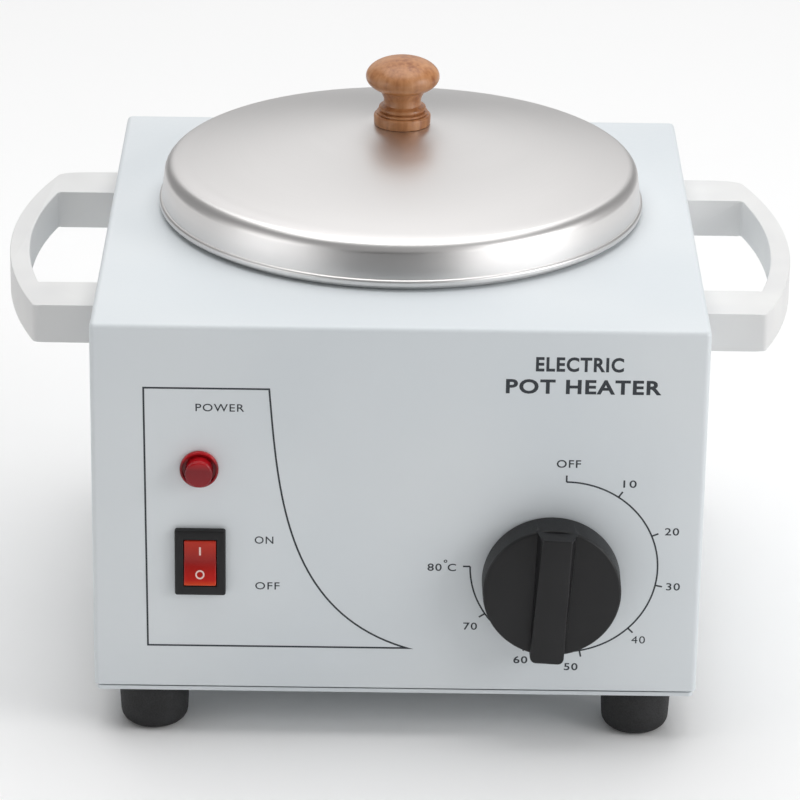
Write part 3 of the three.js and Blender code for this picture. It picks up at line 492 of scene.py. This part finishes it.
def makeCase():
    bm = bmesh.new()
    bmesh.ops.create_cube(bm, size=1.0)
    bmesh.ops.scale(bm, vec=caseHigh - caseLow, verts=bm.verts)
    bmesh.ops.translate(bm, vec=(caseLow + caseHigh) / 2, verts=bm.verts)
    bends = [edge for edge in bm.edges if max(v.co.z for v in edge.verts) > caseHigh.z - mm]
    under = [face for face in bm.faces if face.normal.z < -0.5]
    bmesh.ops.delete(bm, geom=under, context="FACES_ONLY")
    bmesh.ops.bevel(bm, geom=bends, offset=case["bend"] * mm, offset_type="OFFSET",
                    segments=case["bendSteps"], profile=0.5, affect="EDGES", material=-1)
    for side in (-1, 1):  # the sides are folded in under the case
        edge = [edge for edge in bm.edges if all(
            vert.co.z < caseLow.z + touch and vert.co.x * side > caseHigh.x - touch for vert in edge.verts)]
        grown = bmesh.ops.extrude_edge_only(bm, edges=edge)["geom"]
        bmesh.ops.translate(bm, vec=(-side * case["returns"] * mm, 0, 0), verts=vertsOf(grown))
    bmesh.ops.recalc_face_normals(bm, faces=bm.faces)
    if max(bm.faces, key=lambda face: face.calc_center_median().z).normal.z < 0:
        bmesh.ops.reverse_faces(bm, faces=bm.faces)
    bmesh.ops.solidify(bm, geom=bm.faces[:], thickness=case["sheet"] * mm)
    holes = roundHole(case["topHole"], (potAxis.x, potAxis.y, caseHigh.z), steps=case["topSteps"])
    switchHole = bmesh.new()
    bmesh.ops.create_cube(switchHole, size=1.0)
    bmesh.ops.scale(switchHole, vec=[size * mm for size in case["switchHole"]], verts=switchHole.verts)
    combine(holes, switchHole, Matrix.Translation(rockerPivot))
    lampAt, glandAt = middleOf("lamp_nut"), middleOf("cord_gland")
    combine(holes, roundHole(case["lampHole"], (lampAt.x, panelY, lampAt.z), "Y"))
    combine(holes, roundHole(case["shaftHole"], dialPivot, "Y"))
    combine(holes, roundHole(case["glandHole"], (glandAt.x, caseHigh.y, glandAt.z), "Y"))
    screw, steps = case["screwHole"], case["screwSteps"]
    for side in ("left", "right"):
        at = middleOf("thermostat_screw_" + side)
        combine(holes, roundHole(screw, (at.x, panelY, at.z), "Y", steps))
    for side in ("left", "right"):
        for end in ("front", "rear"):
            at = middleOf(f"handle_screw_{side}_{end}")
            edge = caseLow.x if side == "left" else caseHigh.x
            combine(holes, roundHole(screw, (edge, at.y, at.z), "X", steps))
            at = middleOf(f"base_screw_{end}_{side}")
            combine(holes, roundHole(screw, (at.x, at.y, caseLow.z), "Z", steps, depth=6))
    placePiece("folded_case", cutOrJoin(bm, holes, "DIFFERENCE"), "powder_coated_steel", "housing",
               ["case_shell"])


# ---- rubber feet

foot = {"top": 10.7, "bottom": 9.95, "edge": 3.6, "recess": 4.2, "recessDepth": 4.5, "bore": 2.1}


def makeFeet():
    low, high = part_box("foot_front_left")
    height = (high.z - low.z) / mm
    outline = [
        (foot["bore"], foot["recessDepth"]), (foot["recess"], foot["recessDepth"]), (foot["recess"], 0, 0.4),
        (foot["bottom"], 0, foot["edge"]), (foot["top"], height, 0.4), (foot["bore"], height),
    ]
    for place in ("front_left", "front_right", "rear_left", "rear_right"):
        at = middleOf("foot_" + place)
        placePiece("rubber_foot_" + place, turnedPiece(outline, 64), "black_rubber", "housing",
                   ["foot_" + place], Matrix.Translation((at.x, at.y, low.z)))


# ---- moulded handles

handle = {"length": 117.6, "reach": 31.3, "armReach": 20.0, "thickness": 6.1, "armThickness": 19.2,
          "innerReach": 19.8, "edge": 0.8, "frontCorner": 1.0, "rearCorner": 6.0, "innerCorner": 0.8}


def bowed(reach, corner, half, count):  # the arc of a handle's grip, from one corner to the other
    bow = reach - corner
    radius = (half * half + bow * bow) / (2 * bow)
    swing = math.degrees(math.asin(half / radius))
    return arc((reach - radius, 0), (radius, radius), -swing, swing, count)


def makeHandles():
    half = handle["length"] / 2
    gap = half - handle["armThickness"]
    outer = bowed(handle["reach"], handle["armReach"], half, 36)
    inner = bowed(handle["reach"] - handle["thickness"], handle["innerReach"], gap, 28)[::-1]
    inner = [inner[0] + (handle["innerCorner"],)] + inner[1:-1] + [inner[-1] + (handle["innerCorner"],)]
    for side, sign in (("left", -1), ("right", 1)):
        near, far = (handle["frontCorner"], handle["rearCorner"])[::sign]  # the left one is turned half round
        grip = [outer[0] + (near,)] + outer[1:-1] + [outer[-1] + (far,)]
        outline = [(0, -half)] + grip + [(0, half), (0, gap)] + inner + [(0, -gap)]
        low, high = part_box("handle_" + side)
        bm = slab(outline, (high.z - low.z) / mm)
        softenEdges(bm, handle["edge"], 4, 40, lambda edge: min(v.co.x for v in edge.verts) > 0.1 * mm)
        root = Vector((low.x if sign > 0 else high.x, potAxis.y, low.z))
        turn = Matrix.Rotation(0 if sign > 0 else math.pi, 4, "Z")
        placePiece("side_handle_" + side, bm, "white_plastic", "housing", ["handle_" + side],
                   Matrix.Translation(root) @ turn)


# ---- pot, heating well and lid

pot = {"radius": 66.2, "foot": 61.0, "corner": 5.0, "wall": 1.0, "flange": 73.2, "flangeThick": 1.2,
       "beadOuter": 72.1, "beadInner": 70.6}
well = {"gap": 0.8, "wall": 0.8, "lip": 5.0}


def makePot():
    top, floor, flange = caseHigh.z / mm, potLow.z / mm, caseHigh.z / mm + pot["flangeThick"]
    wall, bead = pot["wall"], potHigh.z / mm
    outline = [
        (0, floor), (pot["foot"], floor, pot["corner"]), (pot["radius"], top - 2), (pot["radius"], top, 0.3),
        (pot["flange"], top, 0.5), (pot["flange"], flange, 0.5), (pot["beadOuter"], flange, 0.2),
        (pot["beadOuter"], bead, 0.7), (pot["beadInner"], bead, 0.7), (pot["beadInner"], flange, 0.4),
        (pot["radius"] - wall, flange, 1.2), (pot["radius"] - wall, top - 2.5),
        (pot["foot"] - wall, floor + wall, pot["corner"] - wall), (0, floor + wall),
    ]
    placePiece("lift_out_pot", turnedPiece(outline, 144), "pot_aluminium", "pot", ["wax_pot"],
               Matrix.Translation(potAxis))


def makeWell():
    inner = pot["radius"] + well["gap"]
    outer = inner + well["wall"]
    low, top = wellLow.z / mm, wellHigh.z / mm
    outline = [
        (0, low), (outer, low, 1.6), (outer, top - well["wall"], 0.3),
        (outer + well["lip"], top - well["wall"]), (outer + well["lip"], top), (inner, top, 0.6),
        (inner, low + well["wall"], 1.0), (0, low + well["wall"]),
    ]
    placePiece("heater_well", turnedPiece(outline, 144), "pot_aluminium", "housing", ["heating_well"],
               Matrix.Translation(potAxis))


lid = {"radius": 75.0, "bead": 2.2, "lean": 1.5, "skirt": 10.0, "shoulder": 3.6, "rise": 25.5, "seat": 9.2,
       "steepness": 0.35, "sheet": 0.9, "hem": 2.6, "bore": 2.1, "crease": (0.75, 0.15), "foldIn": 0.4,
       "crownEnd": 6.0, "crownSteps": 14, "round": 3.0, "innerRound": 2.2}


def crownHeight(radius):  # the lid's top: a crowned cone between the knob's seat and the shoulder
    start = lid["skirt"] + lid["shoulder"]
    reach = lid["radius"] - lid["lean"] - lid["shoulder"] - lid["seat"]
    part = max(0.0, radius - lid["seat"]) / reach
    fall = (1 - lid["steepness"]) * part + lid["steepness"] * part * part
    return lid["rise"] - (lid["rise"] - start) * fall


def makeLid():
    rim, sheet, bead = lid["radius"], lid["sheet"], lid["bead"]
    edge = rim - lid["lean"] - lid["foldIn"]
    inner = edge - sheet
    steps, span = lid["crownSteps"], edge - lid["crownEnd"] - lid["seat"]
    crown = [lid["seat"] + span * i / steps for i in range(steps + 1)]
    across, up = lid["crease"]
    outline = [
        (rim - lid["hem"], 0, 0.3), (rim, 0, 0.9), (rim, bead, 0.7), (rim - across, bead + up, 0.3),
        (edge, crownHeight(edge) + 0.1, lid["round"]),
    ]
    outline += [(radius, crownHeight(radius)) for radius in crown[::-1]]
    outline += [(lid["bore"], lid["rise"]), (lid["bore"], lid["rise"] - sheet)]
    outline += [(radius, crownHeight(radius) - sheet) for radius in crown]
    outline += [(inner, crownHeight(inner) - sheet, lid["innerRound"]), (rim - 0.8 - sheet, bead + 0.1),
                (rim - lid["hem"], bead, 0.2)]
    placePiece("spun_lid", turnedPiece(outline, 192, 8), "lid_aluminium", "lid", ["lid"],
               Matrix.Translation((potAxis.x, potAxis.y, lidLow.z)))


woodKnob = {"bore": 2.1, "boreTop": 12.5, "base": 8.8, "baseHigh": 3.3, "step": 7.9, "ring": 7.3, "neck": 5.6,
            "head": 11.35, "headUp": 5.9, "headDown": 5.6}


def makeWoodKnob():
    seat = woodLow.z / mm
    height = woodHigh.z / mm - seat
    base = woodKnob["baseHigh"]
    middle = height - woodKnob["headUp"]
    outline = [
        (0, woodKnob["boreTop"]), (woodKnob["bore"], woodKnob["boreTop"]), (woodKnob["bore"], 0),
        (woodKnob["base"] - 0.1, 0, 0.5), (woodKnob["base"], base, 0.7),
        (woodKnob["step"] - 0.4, base + 0.15), (woodKnob["step"], base + 0.3, 0.2),
        (woodKnob["step"], base + 0.9, 0.3), (woodKnob["ring"] - 0.5, base + 1.0),
    ]
    outline += arc((woodKnob["ring"] - 0.9, base + 1.9), (0.9, 0.85), -70, 80, 6)
    outline += [(woodKnob["neck"] + 0.25, base + 3.2), (woodKnob["neck"], base + 4.4, 0.8),
                (woodKnob["neck"] + 0.4, base + 5.6, 0.8)]
    outline += arc((0, middle), (woodKnob["head"], woodKnob["headDown"]), -52, 0, 12)
    outline += arc((0, middle), (woodKnob["head"], woodKnob["headUp"]), 0, 90, 22)[1:]
    placePiece("turned_knob", turnedPiece(outline, 96), "turned_wood", "lid", ["lid_knob"],
               Matrix.Translation((potAxis.x, potAxis.y, woodLow.z)))


# ---- thermostat knob

dial = {"radius": 20.5, "front": 20.35, "wall": 2.1, "gap": 0.6, "skirt": 9.4, "face": 2.4, "hub": 6.2,
        "socket": 3.1, "tail": 5.0, "nose": 2.6, "overhang": 1.8, "noseDepth": 6.0, "noseWidth": (10.2, 9.9),
        "tailWidth": (12.6, 8.5), "tailInset": 1.1, "noseRound": 1.8, "barEdge": 0.6, "restTurn": -3.0}
# Stands a slab up on the panel: its x runs up the panel, its y out of it and its thickness across.
upright = Matrix(((0, 0, 1, 0), (1, 0, 0, 0), (0, 1, 0, 0), (0, 0, 0, 1)))


def makeControlKnob():
    top = dial["gap"] + dial["skirt"]
    back = top - dial["face"]
    inner, roof, hubEnd = dial["radius"] - dial["wall"], top - 1.9, dial["gap"] + 0.4
    outline = [
        (0, roof), (dial["socket"], roof), (dial["socket"], hubEnd), (dial["hub"], hubEnd),
        (dial["hub"], back, 0.5), (inner, back, 1.0), (inner, dial["gap"]),
        (dial["radius"], dial["gap"], 0.2), (dial["front"], top, 0.7), (0, top),
    ]
    skirt = turnedPiece(outline, 128)
    tip = dial["radius"] + dial["overhang"]
    side = [
        (-tip, top - dial["noseDepth"]), (-dial["radius"] + 3, back + 0.2), (dial["front"] - 0.7, back + 0.2),
        (dial["front"] - 0.7, top), (dial["radius"] - dial["tailInset"], top + dial["tail"], 0.4),
        (-tip + 0.6, top + dial["nose"]), (-tip, top + dial["nose"] - 1.6),
    ]
    bar = slab(side, 1.0, 4)
    for vert in bar.verts:  # the bar is widest at the foot of its tail, and its walls draw in as they rise
        along = (vert.co.x / mm + tip) / (2 * tip)
        rise = min(1.0, max(0.0, (vert.co.y / mm - top) / dial["tail"]))
        base = dial["noseWidth"][0] + (dial["tailWidth"][0] - dial["noseWidth"][0]) * along
        crest = dial["noseWidth"][1] + (dial["tailWidth"][1] - dial["noseWidth"][1]) * along
        width = base + (crest - base) * rise
        vert.co = Vector((vert.co.x, vert.co.y, (vert.co.z / mm - 0.5) * width * mm))
    softenEdges(bar, dial["noseRound"], 5, 50, lambda edge: all(v.co.x / mm < 0.7 - tip for v in edge.verts)
                and abs(edge.verts[0].co.z - edge.verts[1].co.z) < 0.5 * mm)
    softenEdges(bar, dial["barEdge"], 3, 50)
    bmesh.ops.transform(bar, matrix=upright, verts=bar.verts)
    at = onPanel(dialPivot.x, dialPivot.z) @ Matrix.Rotation(math.radians(dial["restTurn"]), 4, "Z")
    placePiece("pointer_knob", cutOrJoin(skirt, bar, "UNION"), "black_plastic", "control_knob",
               ["control_knob"], at)


# ---- rocker switch

switch = {"border": 1.2, "bezel": 2.0, "body": (12.6, 18.6), "depth": 13.0, "wall": (1.35, 1.7),
          "cavity": 8.0, "round": 0.7, "edge": 0.5}
rocker = {"sideGap": 0.25, "endGap": 0.7, "proud": 3.2, "dip": 1.0, "tilt": 9.0, "edge": 0.3, "pin": 1.1,
          "pinSink": 0.75, "pinFit": 0.2}
mark = {"bar": (0.55, 2.6), "ring": 1.35, "line": 0.45, "thick": 0.08, "away": 3.6, "lift": 0.5}


def rectangle(width, height, rounding=None):
    signs = ((-1, -1), (1, -1), (1, 1), (-1, 1))
    corners = [(across * width / 2, up * height / 2) for across, up in signs]
    return [corner + (rounding,) for corner in corners] if rounding else corners


def makeSwitch():
    wide, tall = switch["body"]
    window = (wide - 2 * switch["wall"][0], tall - 2 * switch["wall"][1])
    extra = 2 * switch["border"]
    bezel = slab(rectangle(wide + extra, tall + extra, switch["round"]), switch["bezel"])
    softenEdges(bezel, switch["edge"], 3, 50, lambda edge: min(v.co.z for v in edge.verts) > mm)
    body = slab(rectangle(wide, tall), switch["depth"] + 0.5)
    bmesh.ops.translate(body, vec=(0, 0, -switch["depth"] * mm), verts=body.verts)
    body = cutOrJoin(bezel, body, "UNION")
    cut = slab(rectangle(*window), switch["cavity"] + 1)
    bmesh.ops.translate(cut, vec=(0, 0, (switch["bezel"] - switch["cavity"]) * mm), verts=cut.verts)
    body = cutOrJoin(body, cut, "DIFFERENCE")
    bore = window[0] + 2 * (rocker["pinSink"] + rocker["pinFit"])
    pinHole = roundHole(rocker["pin"] + rocker["pinFit"], (0, 0, 0), "X", 32, bore)
    body = cutOrJoin(body, pinHole, "DIFFERENCE")
    at = onPanel(rockerPivot.x, rockerPivot.z)
    placePiece("switch_frame", body, "black_plastic", "housing", ["switch_housing"], at)

    half = window[1] / 2 - rocker["endGap"]
    proud, dip = rocker["proud"], rocker["dip"]
    side = [(-half - 0.1, -0.5), (-3, -4), (3, -4), (half + 0.1, -0.5),
            (half, proud, 0.5), (0, proud - dip, 1.6), (-half, proud, 0.5)]
    width = window[0] - 2 * rocker["sideGap"]
    key = slab(side, width)
    bmesh.ops.translate(key, vec=(0, 0, -width / 2 * mm), verts=key.verts)
    softenEdges(key, rocker["edge"], 3, 60)
    bmesh.ops.transform(key, matrix=upright, verts=key.verts)
    pin = bmesh.new()
    reach = window[0] + 2 * rocker["pinSink"]
    bmesh.ops.create_cone(pin, cap_ends=True, segments=24, radius1=rocker["pin"] * mm,
                          radius2=rocker["pin"] * mm, depth=reach * mm)
    bmesh.ops.rotate(pin, cent=(0, 0, 0), matrix=Matrix.Rotation(math.pi / 2, 3, "Y"), verts=pin.verts)
    tilted = at @ Matrix.Rotation(math.radians(-rocker["tilt"]), 4, "X")
    placePiece("rocker_key", cutOrJoin(key, pin, "UNION"), "red_rocker", "rocker", ["rocker"], tilted)

    slope = math.atan2(dip, half)
    away, lift = mark["away"] * mm, (proud - dip + mark["lift"]) * mm
    marks = bmesh.new()
    combine(marks, slab(rectangle(*mark["bar"]), mark["thick"]),
            tilted @ Matrix.Translation((0, away, lift)) @ Matrix.Rotation(slope, 4, "X"))
    ring = bmesh.new()
    bmesh.ops.create_circle(ring, segments=40, radius=mark["ring"] * mm)
    bmesh.ops.contextual_create(ring, geom=ring.edges[:])
    bmesh.ops.inset_region(ring, faces=ring.faces[:], thickness=mark["line"] * mm, use_boundary=True)
    bmesh.ops.delete(ring, geom=[min(ring.faces, key=lambda face: face.calc_center_median().length)],
                     context="FACES_ONLY")
    thicken(ring, mark["thick"])
    combine(marks, ring, tilted @ Matrix.Translation((0, -away, lift)) @ Matrix.Rotation(-slope, 4, "X"))
    placePiece("rocker_marks", marks, "red_rocker", "rocker", finish=markInk)


# ---- pilot lamp

lamp = {"flange": 5.7, "flangeThick": 1.4, "lens": 4.0, "lensOut": 3.6, "barrel": 4.8,
        "barrelDeep": 16.0, "groove": (4.9, 0.3)}


def makeLamp():
    at = middleOf("lamp_nut")
    out = lamp["flangeThick"] + lamp["lensOut"]
    deep, groove = -lamp["barrelDeep"], lamp["groove"]
    outline = [
        (0, deep), (lamp["barrel"], deep, 0.3), (lamp["barrel"], 0), (lamp["flange"], 0, 0.2),
        (lamp["flange"], lamp["flangeThick"], 0.45), (groove[0], lamp["flangeThick"], 0.3), groove,
        (lamp["lens"] + 0.1, groove[1]), (lamp["lens"], out, 0.5), (0, out),
    ]
    placePiece("pilot_lens", turnedPiece(outline, 64), "red_lens", "housing", ["lamp_lens"],
               onPanel(at.x, at.z))


# ---- cord gland

gland = {"bore": 3.7, "thread": 6.0, "threadDeep": 9.0, "ridges": 6, "pitch": 1.4, "hex": 9.0, "hexHigh": 4.0,
         "hexEdge": 0.5, "dome": 7.4, "tip": 5.6, "reach": 15.0}


def makeGland():
    at = middleOf("cord_gland")
    thread = []
    for i in range(gland["ridges"]):  # the thread's ridges
        z = -gland["threadDeep"] + 0.6 + i * gland["pitch"]
        thread += [(gland["thread"] - 0.5, z), (gland["thread"], z + 0.4), (gland["thread"], z + 0.7)]
    outline = [(gland["bore"], -gland["threadDeep"])] + thread + [
        (gland["thread"], 0.5), (gland["dome"], 0.5), (gland["dome"], gland["reach"] - 5, 1.5),
        (gland["tip"], gland["reach"], 0.8), (gland["bore"], gland["reach"], 0.5),
    ]
    body = turnedPiece(outline, 72)
    collar = bmesh.new()
    bmesh.ops.create_cone(collar, cap_ends=True, segments=6, radius1=gland["hex"] * mm,
                          radius2=gland["hex"] * mm, depth=gland["hexHigh"] * mm)
    bmesh.ops.translate(collar, vec=(0, 0, gland["hexHigh"] / 2 * mm), verts=collar.verts)
    softenEdges(collar, gland["hexEdge"], 3, 50)
    bore = roundHole(gland["bore"] + 1, (0, 0, 0), steps=48, depth=20)
    body = cutOrJoin(body, cutOrJoin(collar, bore, "DIFFERENCE"), "UNION")
    place = Matrix.Translation((at.x, caseHigh.y, at.z)) @ Matrix.Rotation(-math.pi / 2, 4, "X")
    placePiece("cord_entry_gland", body, "black_nylon", "housing", ["cord_gland"], place)


# ---- printing on the front panel

border = {"left": (-74.7, -74.1), "right": -37.6, "tip": 5.2, "top": 113.6, "bottom": 30.0, "line": 0.55,
          "bow": ((-34.9, 80.7), (-33.1, 40.5))}
scale = {"centre": (49.3, 57.4), "radius": 27.7, "line": 0.5, "tick": 2.1, "steps": 8, "sweep": 270.0}
film = 0.04


def printShape(sheet, bm):  # gives a flat shape the thickness of the ink and lays it on the panel
    thicken(bm, film)
    combine(sheet, bm, onPanel(0, 0, -film / 4 * mm))


def strip(start, end, width):
    bm = bmesh.new()
    bmesh.ops.create_grid(bm, x_segments=1, y_segments=1, size=0.5)
    run = Vector(end) - Vector(start)
    bmesh.ops.scale(bm, vec=(run.length * mm, width * mm, 1), verts=bm.verts)
    middle = (Vector(start) + Vector(end)) / 2 * mm
    turn = Matrix.Rotation(math.atan2(run.y, run.x), 4, "Z")
    bmesh.ops.transform(bm, matrix=Matrix.Translation((middle.x, middle.y, 0)) @ turn, verts=bm.verts)
    return bm


def printBorder(sheet):
    start, end = (border["right"], border["top"]), (border["tip"], border["bottom"])
    sweep = interpolate_bezier(start, *border["bow"], end, 40)
    outline = [(border["left"][1], border["bottom"]), (border["left"][0], border["top"])]
    outline += [(point[0], point[1]) for point in sweep]
    bm = filledOutline(outline)
    bmesh.ops.recalc_face_normals(bm, faces=bm.faces)
    bmesh.ops.inset_region(bm, faces=bm.faces[:], thickness=border["line"] * mm, use_boundary=True,
                           use_even_offset=True)
    bmesh.ops.delete(bm, geom=[max(bm.faces, key=lambda face: len(face.verts))], context="FACES_ONLY")
    printShape(sheet, bm)


def printScale(sheet):
    x, z = scale["centre"]
    band = bmesh.new()
    ends = [band.verts.new((0, (scale["radius"] + side * scale["line"] / 2) * mm, 0)) for side in (-1, 1)]
    band.edges.new(ends)
    bmesh.ops.spin(band, geom=band.verts[:] + band.edges[:], cent=(0, 0, 0), axis=(0, 0, -1), dvec=(0, 0, 0),
                   angle=math.radians(scale["sweep"]), steps=96, use_merge=False)
    bmesh.ops.recalc_face_normals(band, faces=band.faces)
    bmesh.ops.translate(band, vec=(x * mm, z * mm, 0), verts=band.verts)
    printShape(sheet, band)
    for i in range(scale["steps"] + 1):
        angle = math.radians(90 - scale["sweep"] * i / scale["steps"])
        tick = [(x + reach * math.cos(angle), z + reach * math.sin(angle))
                for reach in (scale["radius"], scale["radius"] + scale["tick"])]
        printShape(sheet, strip(*tick, scale["line"]))


words = [  # text, middle x, middle z, cap height, width, weight
    ("ELECTRIC", 52.1, 122.3, 4.6, 25.5, 0.5), ("POT HEATER", 53.4, 115.3, 4.6, 45.2, 0.5),
    ("POWER", -52.2, 107.3, 2.4, 14.2, 0.05), ("ON", -39.3, 65.1, 2.4, 5.5, 0.05),
    ("OFF", -38.3, 50.2, 2.4, 7.2, 0.05), ("OFF", 49.8, 90.9, 2.5, 7.1, 0.1),
    ("10", 67.9, 84.7, 2.4, 3.9, 0.08), ("20", 80.8, 69.5, 2.4, 4.2, 0.08),
    ("30", 81.8, 51.6, 2.4, 4.1, 0.08), ("40", 72.1, 34.0, 2.4, 4.1, 0.0),
    ("50", 52.3, 24.8, 2.4, 4.1, 0.14), ("60", 37.2, 26.9, 2.4, 4.2, 0.14),
    ("70", 22.0, 37.8, 2.4, 4.1, 0.08), ("80", 11.1, 57.0, 2.4, 4.2, 0.08),
    ("°", 14.3, 59.0, 1.0, 1.1, 0.04), ("C", 16.2, 57.0, 2.4, 2.5, 0.08),
]
typeface = {"boldness": 0.28, "spacing": 1.12, "depth": 0.5, "curveSteps": 4}


def printWord(sheet, text, x, z, cap, width, weight):
    curve = bpy.data.curves.new("lettering", "FONT")
    curve.body = text
    curve.size = 1.0
    curve.offset = weight / cap * typeface["boldness"]
    curve.space_character = typeface["spacing"]
    curve.extrude = typeface["depth"]
    curve.resolution_u = typeface["curveSteps"]
    lettering = bpy.data.objects.new("lettering", curve)
    bpy.context.scene.collection.objects.link(lettering)
    bpy.context.view_layer.update()
    mesh = bpy.data.meshes.new_from_object(lettering.evaluated_get(bpy.context.evaluated_depsgraph_get()))
    bpy.data.objects.remove(lettering)
    bpy.data.curves.remove(curve)
    bm = bmesh.new()
    bm.from_mesh(mesh)
    bpy.data.meshes.remove(mesh)
    low = Vector([min(v.co[i] for v in bm.verts) for i in range(3)])
    high = Vector([max(v.co[i] for v in bm.verts) for i in range(3)])
    bmesh.ops.translate(bm, vec=-(low + high) / 2, verts=bm.verts)
    size = (width * mm / (high.x - low.x), cap * mm / (high.y - low.y), film * mm)
    bmesh.ops.scale(bm, vec=size, verts=bm.verts)
    combine(sheet, bm, onPanel(x * mm, z * mm, film / 4 * mm))


def makePrint():
    sheet = bmesh.new()
    printBorder(sheet)
    printScale(sheet)
    for word in words:
        printWord(sheet, *word)
    placePiece("panel_print", sheet, "powder_coated_steel", "housing", finish=ink)


# ---- the rest keeps its shape and gets its finish

def dressNodes():  # a CAD node comes in with a plain material that bears the name of its slot
    for node in frame["nodes"].values():
        for holder in node.material_slots:
            holder.material = finishes[holder.material.name]


def makeFloor():
    bm = bmesh.new()
    bmesh.ops.create_grid(bm, x_segments=4, y_segments=4, size=studio["floorHalf"])
    mesh = bpy.data.meshes.new("floor")
    bm.to_mesh(mesh)
    bm.free()
    mesh.materials.append(floorPaper())
    floor = bpy.data.objects.new("floor", mesh)
    bpy.context.scene.collection.objects.link(floor)


def makeCards():  # cards round the front, seen only as the dark and bright bands in polished metal
    radius, height = studio["cards"]["radius"], studio["cards"]["height"]
    for name, start, end, glow in studio["cardRow"]:
        bm = bmesh.new()
        side = math.radians(start)
        below = Vector((math.sin(side), -math.cos(side), 0)) * radius
        bm.edges.new([bm.verts.new(below), bm.verts.new(below + Vector((0, 0, height)))])
        bmesh.ops.spin(bm, geom=bm.verts[:] + bm.edges[:], cent=(0, 0, 0), axis=(0, 0, 1), dvec=(0, 0, 0),
                       angle=math.radians(end - start), steps=studio["cards"]["steps"], use_merge=False)
        mesh = bpy.data.meshes.new(name)
        bm.to_mesh(mesh)
        bm.free()
        board, _, shader = newFinish(name, "#FFFFFF" if glow else "#0C0C0C", Roughness=1.0)
        shader.inputs["Emission Color"].default_value = linearColour("#FFFFFF")
        shader.inputs["Emission Strength"].default_value = glow
        mesh.materials.append(board)
        card = bpy.data.objects.new(name, mesh)
        card.visible_camera = False
        card.visible_diffuse = False
        card.visible_shadow = False
        bpy.context.scene.collection.objects.link(card)


makeCamera()
makeStudio()
makeFloor()
makeCards()
dressNodes()
print("studio, camera and CAD finishes done")
makeCase()
makeFeet()
makeHandles()
print("case, feet and handles done")
makePot()
makeWell()
makeLid()
makeWoodKnob()
print("pot, well and lid done")
makeControlKnob()
makeSwitch()
makeLamp()
makeGland()
print("knob, switch, lamp and gland done")
makePrint()
print("printing done")
